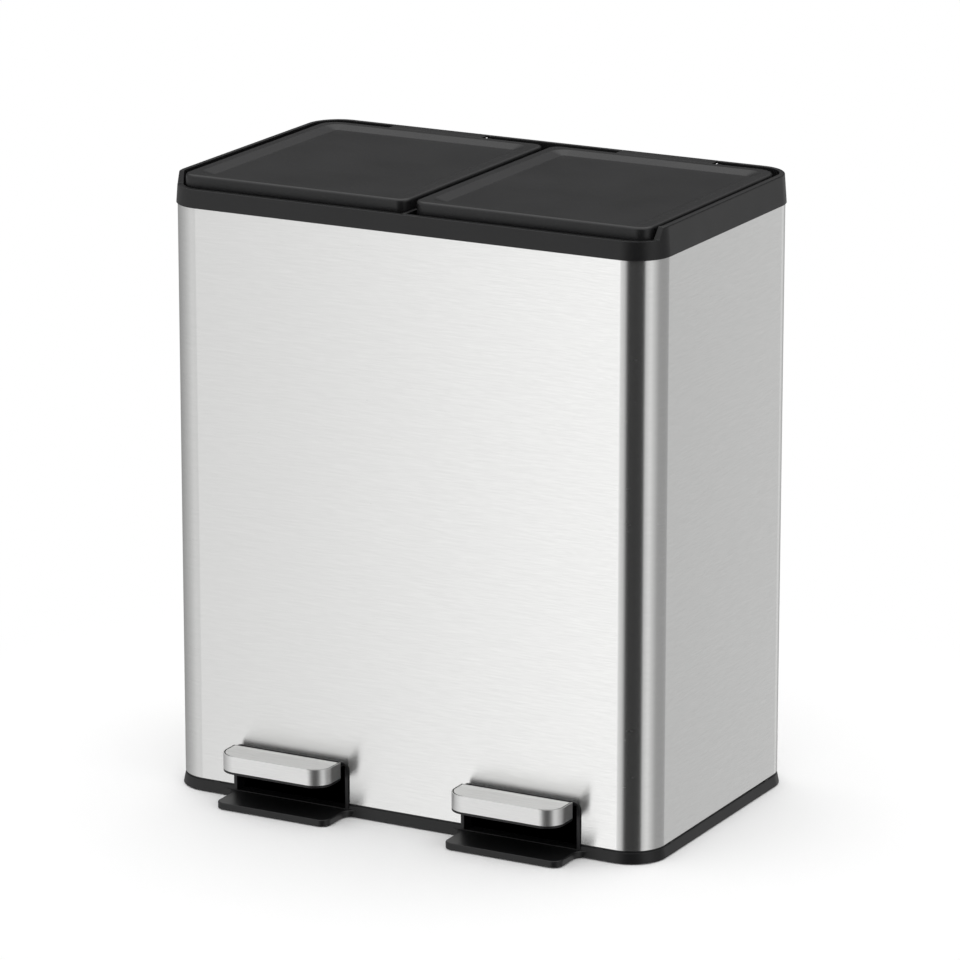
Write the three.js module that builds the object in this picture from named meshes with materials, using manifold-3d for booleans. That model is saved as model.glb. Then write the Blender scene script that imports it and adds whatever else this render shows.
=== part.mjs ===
/**
 * Double pedal recycling bin: a brushed steel body with two lids, two pedals and two inner buckets.
 *
 * Millimetres, +Z up, the front faces -Y and +X is the viewer's right. Every piece is modelled about the
 * centre of the body's plan, with the floor at z = 0. The last lines move the whole bin so that the
 * origin is on the floor, at the centre of its overall footprint.
 *
 * Every piece of the right half is modelled once. The left half is the same scene graph, mirrored.
 */
import * as THREE from 'three';
import { mergeVertices } from 'three/addons/utils/BufferGeometryUtils.js';
import Module from 'manifold-3d';

const wasm = await Module();
wasm.setup();

// ---------------------------------------------------------------------------------------------
// Driving dimensions
// ---------------------------------------------------------------------------------------------

// Body
const bodyWidth = 553;
const bodyDepth = 328.4;
const totalHeight = 650;
const bodyCorner = 37;
const sheetThickness = 0.8;
const sheetIntoFrame = 7.5;

// Clearances: between resting pieces, round a pin, beside a moving piece, and past what a cutter cuts
const fit = 0.3;
const runningFit = 0.25;
const swingGap = 0.7;
const past = 1;

// Base moulding
const footStand = 1;
const ringHeight = 11;
const ringFlare = 2.2;
const ringWall = 3;
const shadowGap = 2;
const nubLength = 8;
const nubDepth = 2;
const nubInset = 54;
const spigotWall = 2.4;
const spigotLap = 3;
const deckTop = 63;
const deckThickness = 2.5;

// Feet
const footRadius = 12;
const footBevel = 1;
const footSocketTop = 4.5;
const footPostRadius = 15;
const footInset = 44;

// Pedal mouths and foot plates
const bezelHalfWidth = 68;
const bezelTop = 58;
const bezelCorner = 9;
const bezelProud = 1.5;
const bezelLand = 4;
const mouthDepth = 14;
const mouthWall = 2;
const mouthCorner = 5;
const footPlateReach = 44.8;
const footPlateHalfWidth = 66;
const footPlateThickness = 7;
const footPlateCorner = 10;
const footPlateFillet = 12;

// Pedals
const pedalHalfWidth = 63;
const pedalFrontReach = 45.3;
const pedalRearReach = 8.5;
const pedalCorner = 20;
const pedalTop = 60;
const pedalCapHeight = 17;
const pedalCapSheet = 1;
const pedalLip = 2.5;
const pedalLipInset = 0.2;
const pedalSlot = 1.2;
const pedalRearRib = 1.8;
const pedalWall = 4;

// Pedal screws
const screwShank = 1.75;
const screwHead = 4;
const screwHeadHeight = 2.4;
const screwHeadBevel = 1.3;
const screwTip = 1.2;
const screwLength = 9;
const screwSpacing = 16;

// Pedal levers, their axles and brackets
const leverHalfWidth = 14;
const leverPlate = 2.5;
const leverTop = 48.5;
const leverTipDepth = 7;
const leverMouthDepth = 12;
const leverPivotDepth = 8;
const leverEndReach = 6;
const leverEndDepth = 6.5;
const leverTravel = 8;
const leverPivotHeight = 36;
const axleRadius = 3;
const axleEnd = 1;
const retainerRadius = 6;
const retainerThickness = 2.5;
const bracketGap = 2.5;
const bracketThickness = 3;
const bracketHalfDepth = 8;
const bracketCorner = 7;

// How much nearer the middle the pedals and the hinges stand than the lid's centre
const sideInset = 0.6;

// Top frame
const frameHeight = 31;
const frameOverhang = 1.4;
const frameTopInset = 0.9;
const frameWall = 5.5;
const frameSkirtWall = 3.4;
const ledgeDrop = 26;
const ledgeThickness = 3.2;
const frontRimDrop = 12;
const rimStepInset = 30.2;
const rimStepRun = 10;
const dividerHalf = 2;
const dividerDrop = 11;

// Lids: the corner radii run from the front inner corner round by the outer ones
const lidDividerGap = 1.8;
const lidRimGap = 6.1;
const lidHingeGap = 9;
const lidCorners = [12, 14, 22, 12];
const lidHeight = 15;
const lidWall = 2.5;
const lidEdgeRadius = 3.2;
const lidFieldDepth = 3.5;
const lidFieldThickness = 3;
const lidFieldCorner = 4;
const lidBorder = 11.5;
const lidSlope = 12.5;

// Lid liners
const linerRecess = 2;
const linerThickness = 2;
const linerGap = 0.5;
const linerRearInset = 20;
const linerCorners = [9, 11, 6, 6];
const linerBossRadius = 4;
const linerBossSpread = 90;
const linerBossCentreY = -10;

// Hinges
const hingeInset = 7.2;
const hingePlateGap = 0.6;
const tongueHalf = 55;
const tonguePlate = 2.2;
const tongueSkirtDepth = 18;
const knuckleRadius = 5.2;
const knuckleLength = 8.3;
const hingePinRadius = 2.25;
const hingeBossLength = 10;
const hingeBossRoot = 5;
const hingeNotchDrop = 22;
const hingeNotchDepth = 8;
const damperLength = 13;
const damperTab = { length: 4, front: 5, rear: 3.6, half: 1.5 };
const lidSwing = 80;

// Push rods, their cranks and covers
const rodRadius = 2;
const rodBend = 5;
const rodSlack = 0.7;
const rodOffset = 9;
const rodEndReach = 3;
const crankReach = 12.26;
const crankPlate = 4;
const crankSlotPlay = 0.2;
const crankRim = 3;
const crankRoot = 6;
const coverWall = 1.5;
const coverHalfWidth = 9;
const coverFrontGap = 7;

// Buckets
const bucketDividerGap = 4;
const bucketSideGap = 8.1;
const bucketFrontGap = 11.8;
const bucketCoverGap = 30;
const bucketFlangeThickness = 3;
const bucketFlangeLap = 7;
const bucketLedgeGap = 1;
const bucketWall = 2;
const bucketFloor = 2.5;
const bucketDraft = 14;
const bucketCorner = 30;
const gripWidth = 90;
const gripHeight = 24;
const gripDrop = 16;
const gripCorner = 11;

// Lid buffers
const bufferRadius = 3.5;
const bufferBevel = 1;
const bufferSpread = 90;
const bufferInset = 12.4;

// ---------------------------------------------------------------------------------------------
// Heights and places that follow from them
// ---------------------------------------------------------------------------------------------

const frontFace = -bodyDepth / 2;
const rearFace = bodyDepth / 2;
const ringTop = footStand + ringHeight;
const sheetBottom = ringTop + shadowGap;
const frameBottom = totalHeight - frameHeight;
const sheetTop = frameBottom + sheetIntoFrame;
const deckBottom = deckTop - deckThickness;
const ledgeTop = totalHeight - ledgeDrop;
const ledgeBottom = ledgeTop - ledgeThickness;
const frontRimTop = totalHeight - frontRimDrop;
const dividerTop = totalHeight - dividerDrop;
const frameInside = frameTopInset + frameWall;
const rimStepY = frontFace + rimStepInset;
const hingeY = rearFace - hingeInset;
const hingeZ = totalHeight - tonguePlate - hingePlateGap - knuckleRadius;
const hingeNotchBottom = totalHeight - hingeNotchDrop;
const lidInner = dividerHalf + lidDividerGap;
const lidOuter = bodyWidth / 2 - frameInside - lidRimGap;
const lidFront = frontFace + frameInside + lidRimGap;
const lidRear = hingeY - lidHingeGap;
const lidBottom = totalHeight - lidHeight;
const tongueSkirtBottom = totalHeight - tongueSkirtDepth;
const linerBottom = lidBottom + linerRecess;
const lidFieldBottom = totalHeight - lidFieldDepth - lidFieldThickness;
const bezelFace = frontFace - fit;
const mouthHalf = bezelHalfWidth - bezelLand;
const mouthTop = bezelTop - bezelLand;
const mouthRear = bezelFace + mouthDepth;
const footPlateTop = footStand + footPlateThickness;
const sideCentre = (lidInner + lidOuter) / 2 - sideInset;
const pedalFront = frontFace - pedalFrontReach;
const pedalRear = frontFace - pedalRearReach;
const pedalStraight = pedalHalfWidth - pedalCorner;
const pedalCapBottom = pedalTop - pedalCapHeight;
const pedalBottom = pedalCapBottom - pedalLip;
const footX = bodyWidth / 2 - footInset;
const footY = bodyDepth / 2 - footInset;
const bracketFrom = leverHalfWidth + bracketGap;
const bracketTo = bracketFrom + bracketThickness;
const retainerFrom = bracketTo + fit;
const axleHalf = retainerFrom + retainerThickness + axleEnd;
const tongueRear = rearFace - frameTopInset;
const knuckleEnd = tongueHalf - hingeBossLength - swingGap;
const bucketInner = dividerHalf + bucketDividerGap;
const bucketOuter = bodyWidth / 2 - frameInside - bucketSideGap;
const bucketFront = frontFace + frameInside + bucketFrontGap;
const bucketRear = hingeY - bucketCoverGap;
const bucketFlangeTop = ledgeTop + bucketLedgeGap + bucketFlangeThickness;
const gripTop = bucketFlangeTop - gripDrop;
const damperEnd = knuckleEnd + swingGap / 2;
const farKnuckleEnd = knuckleEnd - damperLength - swingGap;

/**
 * The crank swings evenly either side of level, so its pin rises by twice the pin's rise in half the
 * swing. The slot lets the rod stay upright, and the lead is the mean of tan(angle) / angle on the way.
 */
const crankLead = 1.15;
const halfSwing = THREE.MathUtils.degToRad(lidSwing / 2);
const rodRise = 2 * crankLead * crankReach * halfSwing;
const rodX = sideCentre - rodOffset;
const rodY = hingeY - crankReach;
const rodTop = hingeZ - rodRise / 2;
const rodBottom = leverPivotHeight - rodRise / 2;
const crankAngle = Math.PI + halfSwing;
const crankSlotHalf = rodRadius + rodSlack;
const crankSlotStart = crankReach - crankSlotPlay;
const crankSlotEnd = Math.hypot(crankReach, rodRise / 2) + crankSlotPlay;

/** The lever's rear arm is as long as it takes to lift the rod by its rise in the pedal's travel. */
const leverPivotY = rodY - rodRise / THREE.MathUtils.degToRad(leverTravel);

// ---------------------------------------------------------------------------------------------
// Materials
// ---------------------------------------------------------------------------------------------

const brushedSteel = new THREE.MeshStandardMaterial({ color: 0xc9c9c8, roughness: 0.32, metalness: 1 });
const zincSteel = new THREE.MeshStandardMaterial({ color: 0x9fa2a4, roughness: 0.4, metalness: 1 });
const paintedSteel = new THREE.MeshStandardMaterial({ color: 0x222223, roughness: 0.5, metalness: 0 });
const blackPlastic = new THREE.MeshStandardMaterial({ color: 0x2b2b2c, roughness: 0.5, metalness: 0 });
const lidPlastic = new THREE.MeshStandardMaterial({ color: 0x303031, roughness: 0.45, metalness: 0 });
const bucketPlastic = new THREE.MeshStandardMaterial({ color: 0x4b4e50, roughness: 0.55, metalness: 0 });
const damperPlastic = new THREE.MeshStandardMaterial({ color: 0xd8d6cf, roughness: 0.5, metalness: 0 });
const blackRubber = new THREE.MeshStandardMaterial({ color: 0x1c1c1c, roughness: 0.85, metalness: 0 });

// ---------------------------------------------------------------------------------------------
// Solids
// ---------------------------------------------------------------------------------------------

/** A closed geometry as a solid that can be joined and cut. */
function solid(geometry) {
  const bare = geometry.index ? geometry.toNonIndexed() : geometry.clone();
  bare.deleteAttribute('normal');
  bare.deleteAttribute('uv');
  const merged = mergeVertices(bare, 1e-4);
  return new wasm.Manifold(new wasm.Mesh({
    numProp: 3,
    vertProperties: merged.attributes.position.array,
    triVerts: new Uint32Array(merged.index.array),
  }));
}

/** A solid as a geometry. */
function geometryOf(made) {
  const { vertProperties, triVerts } = made.getMesh();
  const geometry = new THREE.BufferGeometry();
  geometry.setAttribute('position', new THREE.BufferAttribute(vertProperties, 3));
  geometry.setIndex(new THREE.BufferAttribute(triVerts, 1));
  return geometry;
}

/** The solid with others joined to it. */
const join = (first, ...others) => others.reduce((sum, other) => sum.add(other), first);

/** The solid with others cut out of it. */
const cut = (first, ...others) => others.reduce((rest, other) => rest.subtract(other), first);

/** The solid and its mirror image across a plane square to X. */
function mirrored(made, planeX = 0) {
  const image = geometryOf(made).scale(-1, 1, 1).translate(2 * planeX, 0, 0);
  image.index.array.reverse();
  return made.add(solid(image));
}

/** An outline's plain extrusion along Z, from z = 0 up. */
function extrusion(shape, depth, curveSegments) {
  return new THREE.ExtrudeGeometry(shape, { depth, bevelEnabled: false, curveSegments });
}

/** A bar along Z, made from an outline in X and Y. */
function prism(shape, bottom, top, curveSegments = 6) {
  return solid(extrusion(shape, top - bottom, curveSegments).translate(0, 0, bottom));
}

/** A bar along Y, made from an outline in X and Z. */
function barAcross(shape, front, rear, curveSegments = 4) {
  return solid(extrusion(shape, rear - front, curveSegments).rotateX(Math.PI / 2).translate(0, rear, 0));
}

/** A bar along X, made from an outline in Y and Z, turned about its own origin and then moved. */
function barAlong(shape, from, to, { turn = 0, y = 0, z = 0, curveSegments = 6 } = {}) {
  const axes = new THREE.Matrix4().makeBasis(
    new THREE.Vector3(0, 1, 0), new THREE.Vector3(0, 0, 1), new THREE.Vector3(1, 0, 0));
  const bar = extrusion(shape, to - from, curveSegments).applyMatrix4(axes);
  return solid(bar.rotateX(turn).translate(from, y, z));
}

/** A box between two corners. */
function box([x0, y0, z0], [x1, y1, z1]) {
  const geometry = new THREE.BoxGeometry(x1 - x0, y1 - y0, z1 - z0);
  return solid(geometry.translate((x0 + x1) / 2, (y0 + y1) / 2, (z0 + z1) / 2));
}

/** A round bar along Z. */
function roundAlongZ(x, y, radius, bottom, top, sides = 12) {
  const geometry = new THREE.CylinderGeometry(radius, radius, top - bottom, sides).rotateX(Math.PI / 2);
  return solid(geometry.translate(x, y, (bottom + top) / 2));
}

/** A round bar along X. */
function roundAlongX(y, z, radius, from, to, sides = 14) {
  const geometry = new THREE.CylinderGeometry(radius, radius, to - from, sides).rotateZ(Math.PI / 2);
  return solid(geometry.translate((from + to) / 2, y, z));
}

/** A turned piece about a line along Z: the profile lists radius and height from its bottom up. */
function turned(x, y, profile, sides) {
  const points = profile.map(([radius, height]) => new THREE.Vector2(radius, height));
  return solid(new THREE.LatheGeometry(points, sides).rotateX(Math.PI / 2).translate(x, y, 0));
}

/** An outline with rounded corners: each point is [x, y, radius], with no radius for a sharp corner. */
function roundedPolygon(corners) {
  const shape = new THREE.Shape();
  const at = (i) => new THREE.Vector2(...corners[(i + corners.length) % corners.length].slice(0, 2));
  corners.forEach(([, , radius = 0], i) => {
    const corner = at(i);
    const before = at(i - 1).sub(corner).normalize();
    const after = at(i + 1).sub(corner).normalize();
    const halfAngle = Math.acos(before.dot(after)) / 2;
    const start = corner.clone().addScaledVector(before, radius / Math.tan(halfAngle));
    const end = corner.clone().addScaledVector(after, radius / Math.tan(halfAngle));
    if (i === 0) shape.moveTo(start.x, start.y);
    else shape.lineTo(start.x, start.y);
    if (radius === 0) return;
    const toCentre = before.clone().add(after).normalize().multiplyScalar(radius / Math.sin(halfAngle));
    const centre = corner.clone().add(toCentre);
    shape.absarc(centre.x, centre.y, radius, start.sub(centre).angle(), end.sub(centre).angle(),
      before.cross(after) > 0);
  });
  shape.closePath();
  return shape;
}

/** A rectangle between two corners. Four radii run from the lower left corner round by the lower right. */
function roundedRectangle([x0, y0], [x1, y1], radius) {
  const [a, b, c, d] = Array.isArray(radius) ? radius : [radius, radius, radius, radius];
  return roundedPolygon([[x0, y0, a], [x1, y0, b], [x1, y1, c], [x0, y1, d]]);
}

/**
 * A block with rounded upright corners whose sides move out from the outline by one amount at the
 * bottom and another at the top, as a moulding with draft does. The corners keep their centres.
 */
function draftedBlock([x0, y0], [x1, y1], radius, [bottom, growBottom], [top, growTop], curveSegments = 6) {
  const shape = roundedRectangle([x0, y0], [x1, y1], radius);
  const geometry = extrusion(shape, top - bottom, curveSegments).translate(0, 0, bottom);
  const place = geometry.attributes.position;
  for (let i = 0; i < place.count; i += 1) {
    const grow = THREE.MathUtils.mapLinear(place.getZ(i), bottom, top, growBottom, growTop);
    const centreX = THREE.MathUtils.clamp(place.getX(i), x0 + radius, x1 - radius);
    const centreY = THREE.MathUtils.clamp(place.getY(i), y0 + radius, y1 - radius);
    place.setX(i, place.getX(i) + grow * (place.getX(i) - centreX) / radius);
    place.setY(i, place.getY(i) + grow * (place.getY(i) - centreY) / radius);
  }
  return solid(geometry);
}

/** A block on the body's own outline, moved out from it by amounts at its bottom and its top. */
function bodyBlock(bottom, top, growBottom, growTop = growBottom) {
  const corner = [bodyWidth / 2, bodyDepth / 2];
  return draftedBlock(corner.map((v) => -v), corner, bodyCorner, [bottom, growBottom], [top, growTop]);
}

// ---------------------------------------------------------------------------------------------
// Body: base moulding, steel shell, top frame
// ---------------------------------------------------------------------------------------------

/** The block that fills one pedal mouth's tunnel and its walls, from below the sheet's lower edge up. */
function mouthBlock(grow, front, rear, bottom = footStand) {
  const half = mouthHalf + mouthWall + grow;
  const top = mouthTop + mouthWall + grow;
  return barAcross(roundedRectangle([sideCentre - half, bottom], [sideCentre + half, top],
    [0, 0, mouthCorner, mouthCorner]), front, rear);
}

/** Brushed steel sheet, wrapped round the body and open at the top and the bottom. */
function outerShell() {
  const wrap = cut(bodyBlock(sheetBottom, sheetTop, 0),
    bodyBlock(sheetBottom - past, sheetTop + past, -sheetThickness));
  return cut(wrap, mirrored(mouthBlock(fit, frontFace - past, frontFace + bodyCorner, sheetBottom - past)));
}

/** The bezel round one pedal mouth, its short tunnel and the foot plate below it. */
function pedalMouth() {
  const bezelOutline = roundedRectangle([sideCentre - bezelHalfWidth, footStand],
    [sideCentre + bezelHalfWidth, bezelTop], [0, 0, bezelCorner, bezelCorner]);
  const bezel = barAcross(bezelOutline, bezelFace - bezelProud, bezelFace);
  const tunnel = mouthBlock(0, bezelFace, mouthRear);
  const ringFront = frontFace - ringFlare;
  const plateFront = frontFace - footPlateReach;
  const outer = footPlateHalfWidth + footPlateFillet + past;
  const plate = prism(roundedPolygon([
    [sideCentre - outer, mouthRear],
    [sideCentre - outer, ringFront],
    [sideCentre - footPlateHalfWidth, ringFront, footPlateFillet],
    [sideCentre - footPlateHalfWidth, plateFront, footPlateCorner],
    [sideCentre + footPlateHalfWidth, plateFront, footPlateCorner],
    [sideCentre + footPlateHalfWidth, ringFront, footPlateFillet],
    [sideCentre + outer, ringFront],
    [sideCentre + outer, mouthRear],
  ]), footStand, footPlateTop, 4);
  return join(bezel, tunnel, plate);
}

/** The clear way through one pedal mouth, for the lever. */
function pedalWay() {
  return box([sideCentre - mouthHalf, frontFace - footPlateReach, footPlateTop],
    [sideCentre + mouthHalf, mouthRear + past, mouthTop]);
}

/** The two ears that hang from the deck and hold one lever's axle. */
function leverBracket() {
  const bottom = leverPivotHeight - bracketHalfDepth;
  const ear = barAlong(roundedPolygon([
    [leverPivotY - bracketHalfDepth, bottom, bracketCorner],
    [leverPivotY + bracketHalfDepth, bottom, bracketCorner],
    [leverPivotY + bracketHalfDepth, deckTop],
    [leverPivotY - bracketHalfDepth, deckTop],
  ]), sideCentre + bracketFrom, sideCentre + bracketTo, { curveSegments: 3 });
  return mirrored(ear, sideCentre);
}

/** The small nubs on the ring that hold the steel off it, which leaves the shadow gap. */
function ringNubs() {
  const [bottom, top] = [ringTop - past, sheetBottom - fit];
  const [alongX, alongY] = [bodyWidth / 2 - nubInset, bodyDepth / 2 - nubInset];
  const onFaces = [frontFace, rearFace - nubDepth].map((y) => box(
    [alongX - nubLength / 2, y, bottom], [alongX + nubLength / 2, y + nubDepth, top]));
  const onEnd = [-alongY, alongY].map((y) => box(
    [bodyWidth / 2 - nubDepth, y - nubLength / 2, bottom], [bodyWidth / 2, y + nubLength / 2, top]));
  return mirrored(join(...onFaces, ...onEnd));
}

/** The four posts that reach down from the deck to the feet, each with a socket in its end. */
function footPosts() {
  const post = (y) => cut(roundAlongZ(footX, y, footPostRadius, footStand, deckTop - past, 16),
    roundAlongZ(footX, y, footRadius + fit, footStand - past, footSocketTop, 16));
  return mirrored(join(post(-footY), post(footY)));
}

/** Black base moulding: flared ring, spigot inside the steel, deck for the buckets, and pedal mouths. */
function base() {
  const ring = cut(bodyBlock(footStand, ringTop, ringFlare, 0),
    bodyBlock(footStand - past, ringTop + past, -ringWall));
  const spigotFace = -sheetThickness - fit;
  const spigot = cut(bodyBlock(ringTop - spigotLap, deckTop, spigotFace),
    bodyBlock(footStand, deckBottom, spigotFace - spigotWall));
  const rodHole = roundAlongZ(rodX, rodY, rodRadius + rodSlack, deckBottom - past, deckTop + past);
  const axleHole = roundAlongX(leverPivotY, leverPivotHeight, axleRadius + runningFit,
    sideCentre - axleHalf, sideCentre + axleHalf);
  const halves = mirrored(join(pedalMouth(), leverBracket()));
  return cut(join(ring, spigot, ringNubs(), footPosts(), halves),
    mirrored(join(pedalWay(), rodHole, axleHole)));
}

/** The notch in the frame's rear wall that the lid's tongue swings in. */
function hingeNotch() {
  return box([sideCentre - tongueHalf - swingGap, rearFace - hingeNotchDepth - frameInside, hingeNotchBottom],
    [sideCentre + tongueHalf + swingGap, rearFace + frameOverhang, totalHeight + past]);
}

/** The two bosses of the frame that hold the hinge pin's ends. The right one is keyed for the damper. */
function hingeBosses() {
  const inner = tongueHalf - hingeBossLength;
  const boss = roundAlongX(hingeY, hingeZ, knuckleRadius,
    sideCentre + inner, sideCentre + tongueHalf + hingeBossRoot);
  const keyway = box(
    [sideCentre + inner - past, hingeY - knuckleRadius - past, hingeZ - damperTab.half - fit],
    [sideCentre + inner + damperTab.length, hingeY - damperTab.rear + fit, hingeZ + damperTab.half + fit]);
  return cut(mirrored(boss, sideCentre), keyway);
}

/** Black top frame: outer band over the steel, ledge for the buckets, low front wall, hinge notches. */
function topFrame() {
  const band = bodyBlock(frameBottom, totalHeight, frameOverhang, -frameTopInset);
  const well = bodyBlock(ledgeTop, totalHeight + past, -frameInside);
  const under = bodyBlock(frameBottom - past, ledgeBottom, -sheetThickness - fit - frameSkirtWall);
  const sheetSlot = cut(bodyBlock(frameBottom - past, sheetTop + fit, fit),
    bodyBlock(frameBottom - 2 * past, sheetTop + past, -sheetThickness - fit));
  const lowFront = barAlong(roundedPolygon([
    [frontFace - frameWall, frontRimTop],
    [rimStepY - rimStepRun, frontRimTop],
    [rimStepY, totalHeight],
    [rimStepY, totalHeight + past],
    [frontFace - frameWall, totalHeight + past],
  ]), -bodyWidth, bodyWidth);
  const divider = box([-dividerHalf, frontFace + frameWall, ledgeTop - past],
    [dividerHalf, rearFace - frameWall, dividerTop]);
  const lap = bucketFlangeLap;
  const bucketWay = prism(roundedRectangle([bucketInner + lap, bucketFront + lap],
    [bucketOuter - lap, bucketRear - lap], bucketCorner - lap), ledgeBottom - past, ledgeTop + past, 4);
  const pinBore = roundAlongX(hingeY, hingeZ, hingePinRadius + runningFit,
    sideCentre - tongueHalf + past, sideCentre + tongueHalf - past);
  const rodHole = roundAlongZ(rodX, rodY, rodRadius + rodSlack, ledgeBottom - past, ledgeTop + past);
  const walls = cut(join(cut(band, well, under, sheetSlot, lowFront), divider), mirrored(hingeNotch()));
  return cut(join(walls, mirrored(hingeBosses())), mirrored(join(bucketWay, pinBore, rodHole)));
}

/** Rubber foot, pressed into a post of the base. */
function foot(y) {
  const top = footSocketTop - fit;
  return turned(footX, y, [
    [0, 0], [footRadius - footBevel, 0], [footRadius, footBevel], [footRadius, top], [0, top],
  ], 16);
}

/** Channel on the inside of the rear wall that keeps the bucket and its bag off the push rod. */
function rodCover() {
  const front = rodY - coverFrontGap;
  const rear = rearFace - sheetThickness - fit;
  const [bottom, top] = [deckTop + fit, frameBottom - fit];
  const way = coverHalfWidth - coverWall;
  return cut(box([rodX - coverHalfWidth, front - coverWall, bottom], [rodX + coverHalfWidth, rear, top]),
    box([rodX - way, front, bottom - past], [rodX + way, rear + past, top + past]));
}

// ---------------------------------------------------------------------------------------------
// Lids and hinges
// ---------------------------------------------------------------------------------------------

/** The outline of one lid, without its hinge tongue, drawn in from the edge by an amount. */
function lidOutline(inset = 0) {
  return roundedRectangle([lidInner + inset, lidFront + inset], [lidOuter - inset, lidRear - inset],
    lidCorners.map((radius) => radius - inset));
}

/** The lid's cover: rounded rim, sunken field and skirt. */
function lidCover() {
  const rim = new THREE.ExtrudeGeometry(lidOutline(), {
    depth: totalHeight - lidBottom,
    bevelThickness: lidEdgeRadius,
    bevelSize: lidEdgeRadius,
    bevelOffset: -lidEdgeRadius,
    bevelSegments: 3,
    curveSegments: 4,
  });
  const outside = solid(rim.translate(0, 0, lidBottom - lidEdgeRadius));
  const trim = box([0, -bodyDepth, 0], [bodyWidth, bodyDepth, lidBottom]);
  const field = lidBorder + lidSlope;
  const sunk = draftedBlock([lidInner + field, lidFront + field], [lidOuter - field, lidRear - field],
    lidFieldCorner, [totalHeight - lidFieldDepth, 0], [totalHeight, lidSlope], 3);
  const hollow = prism(lidOutline(lidWall), lidBottom - past, lidFieldBottom, 4);
  return cut(outside, trim, sunk, hollow);
}

/** The lid's hinge tongue: a plate over the rear wall, a skirt down its outside, and two knuckles. */
function hingeTongue() {
  const plate = box([sideCentre - tongueHalf, lidRear - lidWall, totalHeight - tonguePlate],
    [sideCentre + tongueHalf, tongueRear, totalHeight]);
  const skirt = box([sideCentre - knuckleEnd, tongueRear - lidWall, tongueSkirtBottom],
    [sideCentre + farKnuckleEnd, tongueRear, totalHeight]);
  const knuckle = (from) => join(
    roundAlongX(hingeY, hingeZ, knuckleRadius, from, from + knuckleLength),
    box([from, hingeY - knuckleRadius, hingeZ],
      [from + knuckleLength, hingeY + knuckleRadius, totalHeight - tonguePlate / 2]));
  return join(plate, skirt, knuckle(sideCentre - knuckleEnd),
    knuckle(sideCentre + farKnuckleEnd - knuckleLength));
}

/** A round-ended bar that points from the hinge down towards the crank's pin. */
function crankBar(halfWidth, start, end, halfThickness) {
  const outline = new THREE.Shape();
  outline.absarc(end, 0, halfWidth, -Math.PI / 2, Math.PI / 2);
  outline.absarc(start, 0, halfWidth, Math.PI / 2, 3 * Math.PI / 2);
  outline.closePath();
  return barAlong(outline, sideCentre - halfThickness, sideCentre + halfThickness,
    { turn: crankAngle, y: hingeY, z: hingeZ, curveSegments: 4 });
}

/** Lid moulding: the cover, the hinge tongue, posts for the liner, and the slotted crank. */
function lid() {
  const linerBosses = mirrored(join(...[-1, 1].map((end) => roundAlongZ(sideCentre + linerBossSpread,
    linerBossCentreY + end * linerBossSpread, linerBossRadius, linerBottom + linerThickness + fit,
    lidFieldBottom + past, 10))), sideCentre);
  const crankWindow = box([rodX - rodBend, lidRear - lidWall - past, lidBottom - past],
    [sideCentre + rodOffset, lidRear + past, lidFieldBottom]);
  const crankWeb = box([sideCentre - crankPlate / 2, lidRear - crankRoot, hingeZ],
    [sideCentre + crankPlate / 2, hingeY + knuckleRadius, totalHeight - tonguePlate / 2]);
  const crank = join(crankBar(crankSlotHalf + crankRim, 0, crankSlotEnd, crankPlate / 2), crankWeb);
  const crankSlot = crankBar(crankSlotHalf, crankSlotStart, crankSlotEnd, crankPlate);
  const pinBore = roundAlongX(hingeY, hingeZ, hingePinRadius + runningFit,
    sideCentre - tongueHalf, sideCentre + tongueHalf);
  return cut(join(cut(lidCover(), crankWindow), linerBosses, hingeTongue(), crank), crankSlot, pinBore);
}

/** Flat inner panel that closes the underside of the lid. */
function lidLiner() {
  const inset = lidWall + linerGap;
  const outline = roundedRectangle([lidInner + inset, lidFront + inset],
    [lidOuter - inset, lidRear - linerRearInset], linerCorners);
  return prism(outline, linerBottom, linerBottom + linerThickness, 4);
}

/** Steel pin through the frame's bosses, the lid's knuckles and the damper. */
function hingePin() {
  const half = tongueHalf - past - fit;
  return roundAlongX(hingeY, hingeZ, hingePinRadius, sideCentre - half, sideCentre + half);
}

/** Barrel damper on the hinge pin, which slows the closing lid. Its tab keys into the frame's boss. */
function lidDamper() {
  const [from, to] = [sideCentre + damperEnd - damperLength, sideCentre + damperEnd];
  const tab = box([to - past, hingeY - damperTab.front, hingeZ - damperTab.half],
    [to + damperTab.length, hingeY - damperTab.rear, hingeZ + damperTab.half]);
  return cut(join(roundAlongX(hingeY, hingeZ, knuckleRadius, from, to), tab),
    roundAlongX(hingeY, hingeZ, hingePinRadius + runningFit, from - past, to + past));
}

/** Rubber button on the frame's front ledge that the lid comes down on. */
function lidBuffer(side) {
  const [bottom, top] = [ledgeTop + fit, lidBottom - fit];
  return turned(sideCentre + side * bufferSpread, frontFace + bufferInset, [
    [0, bottom], [bufferRadius, bottom], [bufferRadius, top - bufferBevel],
    [bufferRadius - bufferBevel, top], [0, top],
  ], 12);
}

// ---------------------------------------------------------------------------------------------
// Pedals, levers and rods
// ---------------------------------------------------------------------------------------------

/** The pedal's outline in plan, drawn in from its front and ends by an amount. */
function pedalOutline(inset, rear = pedalRear) {
  const corner = pedalCorner - inset;
  return roundedRectangle([sideCentre - pedalHalfWidth + inset, pedalFront + inset],
    [sideCentre + pedalHalfWidth - inset, rear], [corner, corner, 0, 0]);
}

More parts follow.
